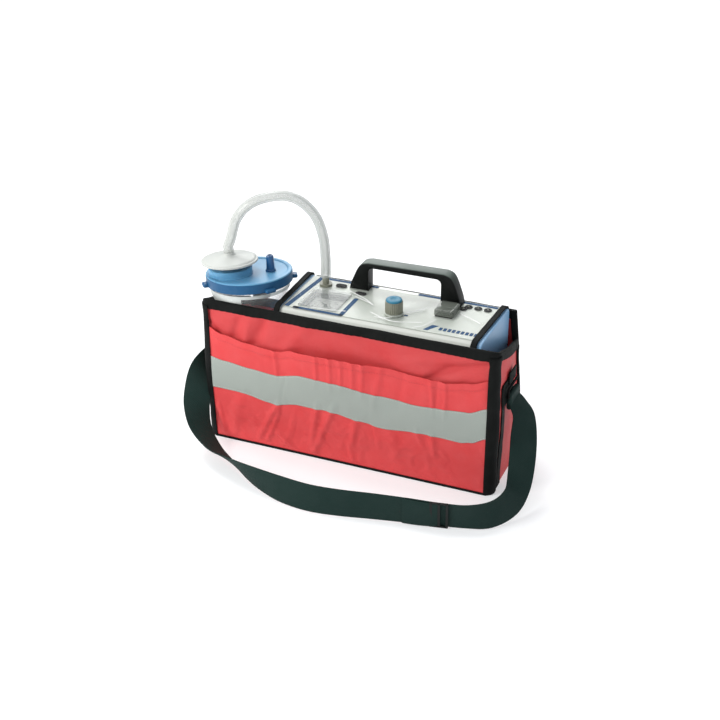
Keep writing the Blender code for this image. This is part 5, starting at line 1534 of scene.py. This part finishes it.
class PUMP_OT_lid(PumpPiece, bpy.types.Operator):
    """Lid with its lifting tabs, filter boss and patient port"""
    bl_idname = "pump.lid"
    bl_label = "Lid"

    def execute(self, context):
        z, r = LID_TOP, 0.0600
        top = [(0, z - 0.0027), (0.0540, z - 0.0027), (0.0553, z - 0.0100), (0.0556, z - 0.0100),
               (r - 0.0004, z - 0.0016), (r - 0.0004, z - 0.0010), (r - 0.0012, z - 0.0002), (r - 0.0024, z),
               (0.0545, z), (0.0536, z - 0.0004), (0.0528, z - 0.0014), (0.0500, z - 0.0016), (0, z - 0.0016)]
        boss = turned([(0.0046, z - 0.0030), (0.0308, z - 0.0030), (0.0308, z - 0.0002), (0.0300, z + 0.0006),
                       (0.0300, z + 0.0078), (0.0293, z + 0.0085), (0.0046, z + 0.0085)], 72, (*FILTER_AT, 0))
        canister_piece("lid_top", top, "lid_blue", "lid", "jar_lid", extra=[boss])
        tabs = []
        for bearing in (219, 30, 324):
            tab = block((r - 0.0040, -0.0075, z - 0.0152), (r + 0.0062, 0.0075, z - 0.0098), 0.0024, 3)
            turn = Matrix.Rotation(math.radians(bearing), 3, "Z")
            bmesh.ops.rotate(tab, cent=(0, 0, 0), matrix=turn, verts=tab.verts)
            tabs.append(tab)
        skirt = [(0.0556, z - 0.0150), (r - 0.0008, z - 0.0150), (r, z - 0.0142), (r, z - 0.0026),
                 (r - 0.0006, z - 0.0018), (0.0556, z - 0.0018)]
        canister_piece("lid_side", skirt, "lid_skirt_painted_shade", "lid", extra=tabs)
        base = z - 0.0016
        spigot = [(0.0030, base - 0.0060), (0.0040, base - 0.0060), (0.0040, base + 0.0004),
                  (0.0072, base + 0.0004), (0.0070, base + 0.0020), (0.0058, base + 0.0030),
                  (0.0053, base + 0.0190), (0.0050, base + 0.0212), (0.0042, base + 0.0226),
                  (0.0031, base + 0.0228)]
        canister_piece("lid_spigot", spigot, "spigot_blue", "lid", "patient_port", at=SPIGOT_AT)
        return {"FINISHED"}


class PUMP_OT_filter(PumpPiece, bpy.types.Operator):
    """Lens-shaped hydrophobic filter on the lid's boss"""
    bl_idname = "pump.filter"
    bl_label = "Filter"

    def execute(self, context):
        rim_z = LID_TOP + 0.0180
        boss = LID_TOP + 0.0088
        r = 0.0390
        lower = [(0.0030, boss - 0.0060), (0.0040, boss - 0.0060), (0.0040, boss), (0.0078, boss),
                 (0.0082, boss + 0.0010), (0.0110, rim_z - 0.0058), (0.0300, rim_z - 0.0036),
                 (0.0350, rim_z - 0.0030), (0.0362, rim_z - 0.0018), (r - 0.0003, rim_z - 0.0014),
                 (r, rim_z - 0.0010), (r, rim_z - 0.0002), (0.0290, rim_z - 0.0016), (0.0030, rim_z - 0.0030)]
        canister_piece("filter_base", lower, "filter_white", "filter", "filter_lower", at=FILTER_AT)
        upper = [(r, rim_z), (r, rim_z + 0.0008), (r - 0.0004, rim_z + 0.0013), (0.0364, rim_z + 0.0016),
                 (0.0352, rim_z + 0.0030), (0.0330, rim_z + 0.0036), (0.0200, rim_z + 0.0056),
                 (0.0100, rim_z + 0.0070), (0.0080, rim_z + 0.0080), (0.0073, rim_z + 0.0092),
                 (0.0071, rim_z + 0.0105), (0.0028, rim_z + 0.0105), (0.0028, rim_z + 0.0056),
                 (0.0290, rim_z + 0.0022)]
        ribs = []
        tilt = Matrix.Rotation(math.radians(7.5), 3, "Y")
        for k in range(12):
            rib = block((0.0110, -0.0005, rim_z + 0.0030), (0.0330, 0.0005, rim_z + 0.0046), 0.0002, 1)
            bmesh.ops.rotate(rib, cent=(0.0220, 0, rim_z + 0.0040), matrix=tilt, verts=rib.verts)
            turn = Matrix.Translation((*FILTER_AT, 0)) @ Matrix.Rotation(math.tau * k / 12, 4, "Z")
            bmesh.ops.transform(rib, matrix=turn, verts=rib.verts)
            ribs.append(rib)
        canister_piece("filter_cover", upper, "filter_white", "filter", "filter_upper", at=FILTER_AT,
                       extra=ribs)
        repaint("print_white", "filter_membrane")
        return {"FINISHED"}


class PUMP_OT_insides(PumpPiece, bpy.types.Operator):
    """Battery, board, motor and pump inside the casing"""
    bl_idname = "pump.insides"
    bl_label = "Pump Train"

    def execute(self, context):
        repaint("battery_grey", "battery")
        repaint("steel", "battery_strap", "motor_can", "motor_rotor", "pump_bracket")
        repaint("board_green", "circuit_board")
        repaint("case_white", "con_rod", "pump_head")
        repaint("rubber", "diaphragm")
        repaint("brass", "exhaust_silencer")
        repaint("hose_clear", "suction_tube")
        return {"FINISHED"}


# ------------------------------------------------------------------ panel and run
PIECES = [PUMP_OT_stage, PUMP_OT_strap, PUMP_OT_hose, PUMP_OT_shell, PUMP_OT_bindings, PUMP_OT_pocket,
          PUMP_OT_window, PUMP_OT_fittings, PUMP_OT_casing, PUMP_OT_handle, PUMP_OT_gauge, PUMP_OT_controls,
          PUMP_OT_jar, PUMP_OT_lid, PUMP_OT_filter, PUMP_OT_insides]
SETTINGS = {"pump_bag": PumpBagSettings, "pump_unit": PumpUnitSettings, "pump_canister": PumpCanisterSettings,
            "pump_stage": PumpStageSettings}


class PUMP_PT_panel(bpy.types.Panel):
    """Sizes, colours and one button for each piece"""
    bl_idname = "PUMP_PT_panel"
    bl_label = "Suction Pump"
    bl_space_type = "VIEW_3D"
    bl_region_type = "UI"
    bl_category = "Suction Pump"

    def draw(self, context):
        column = self.layout.column()
        for name, group in SETTINGS.items():
            settings = getattr(context.scene, name)
            for key in group.__annotations__:
                column.prop(settings, key)
        for kind in PIECES:
            column.operator(kind.bl_idname)


def register():
    for kind in [*SETTINGS.values(), *PIECES, PUMP_PT_panel]:
        bpy.utils.register_class(kind)
    for name, group in SETTINGS.items():
        setattr(bpy.types.Scene, name, bpy.props.PointerProperty(type=group))


def unregister():
    for name in SETTINGS:
        delattr(bpy.types.Scene, name)
    for kind in reversed([*SETTINGS.values(), *PIECES, PUMP_PT_panel]):
        bpy.utils.unregister_class(kind)


def main():
    register()
    for kind in PIECES:
        area, name = kind.bl_idname.split(".")
        getattr(getattr(bpy.ops, area), name)()


if __name__ == "__main__":
    main()
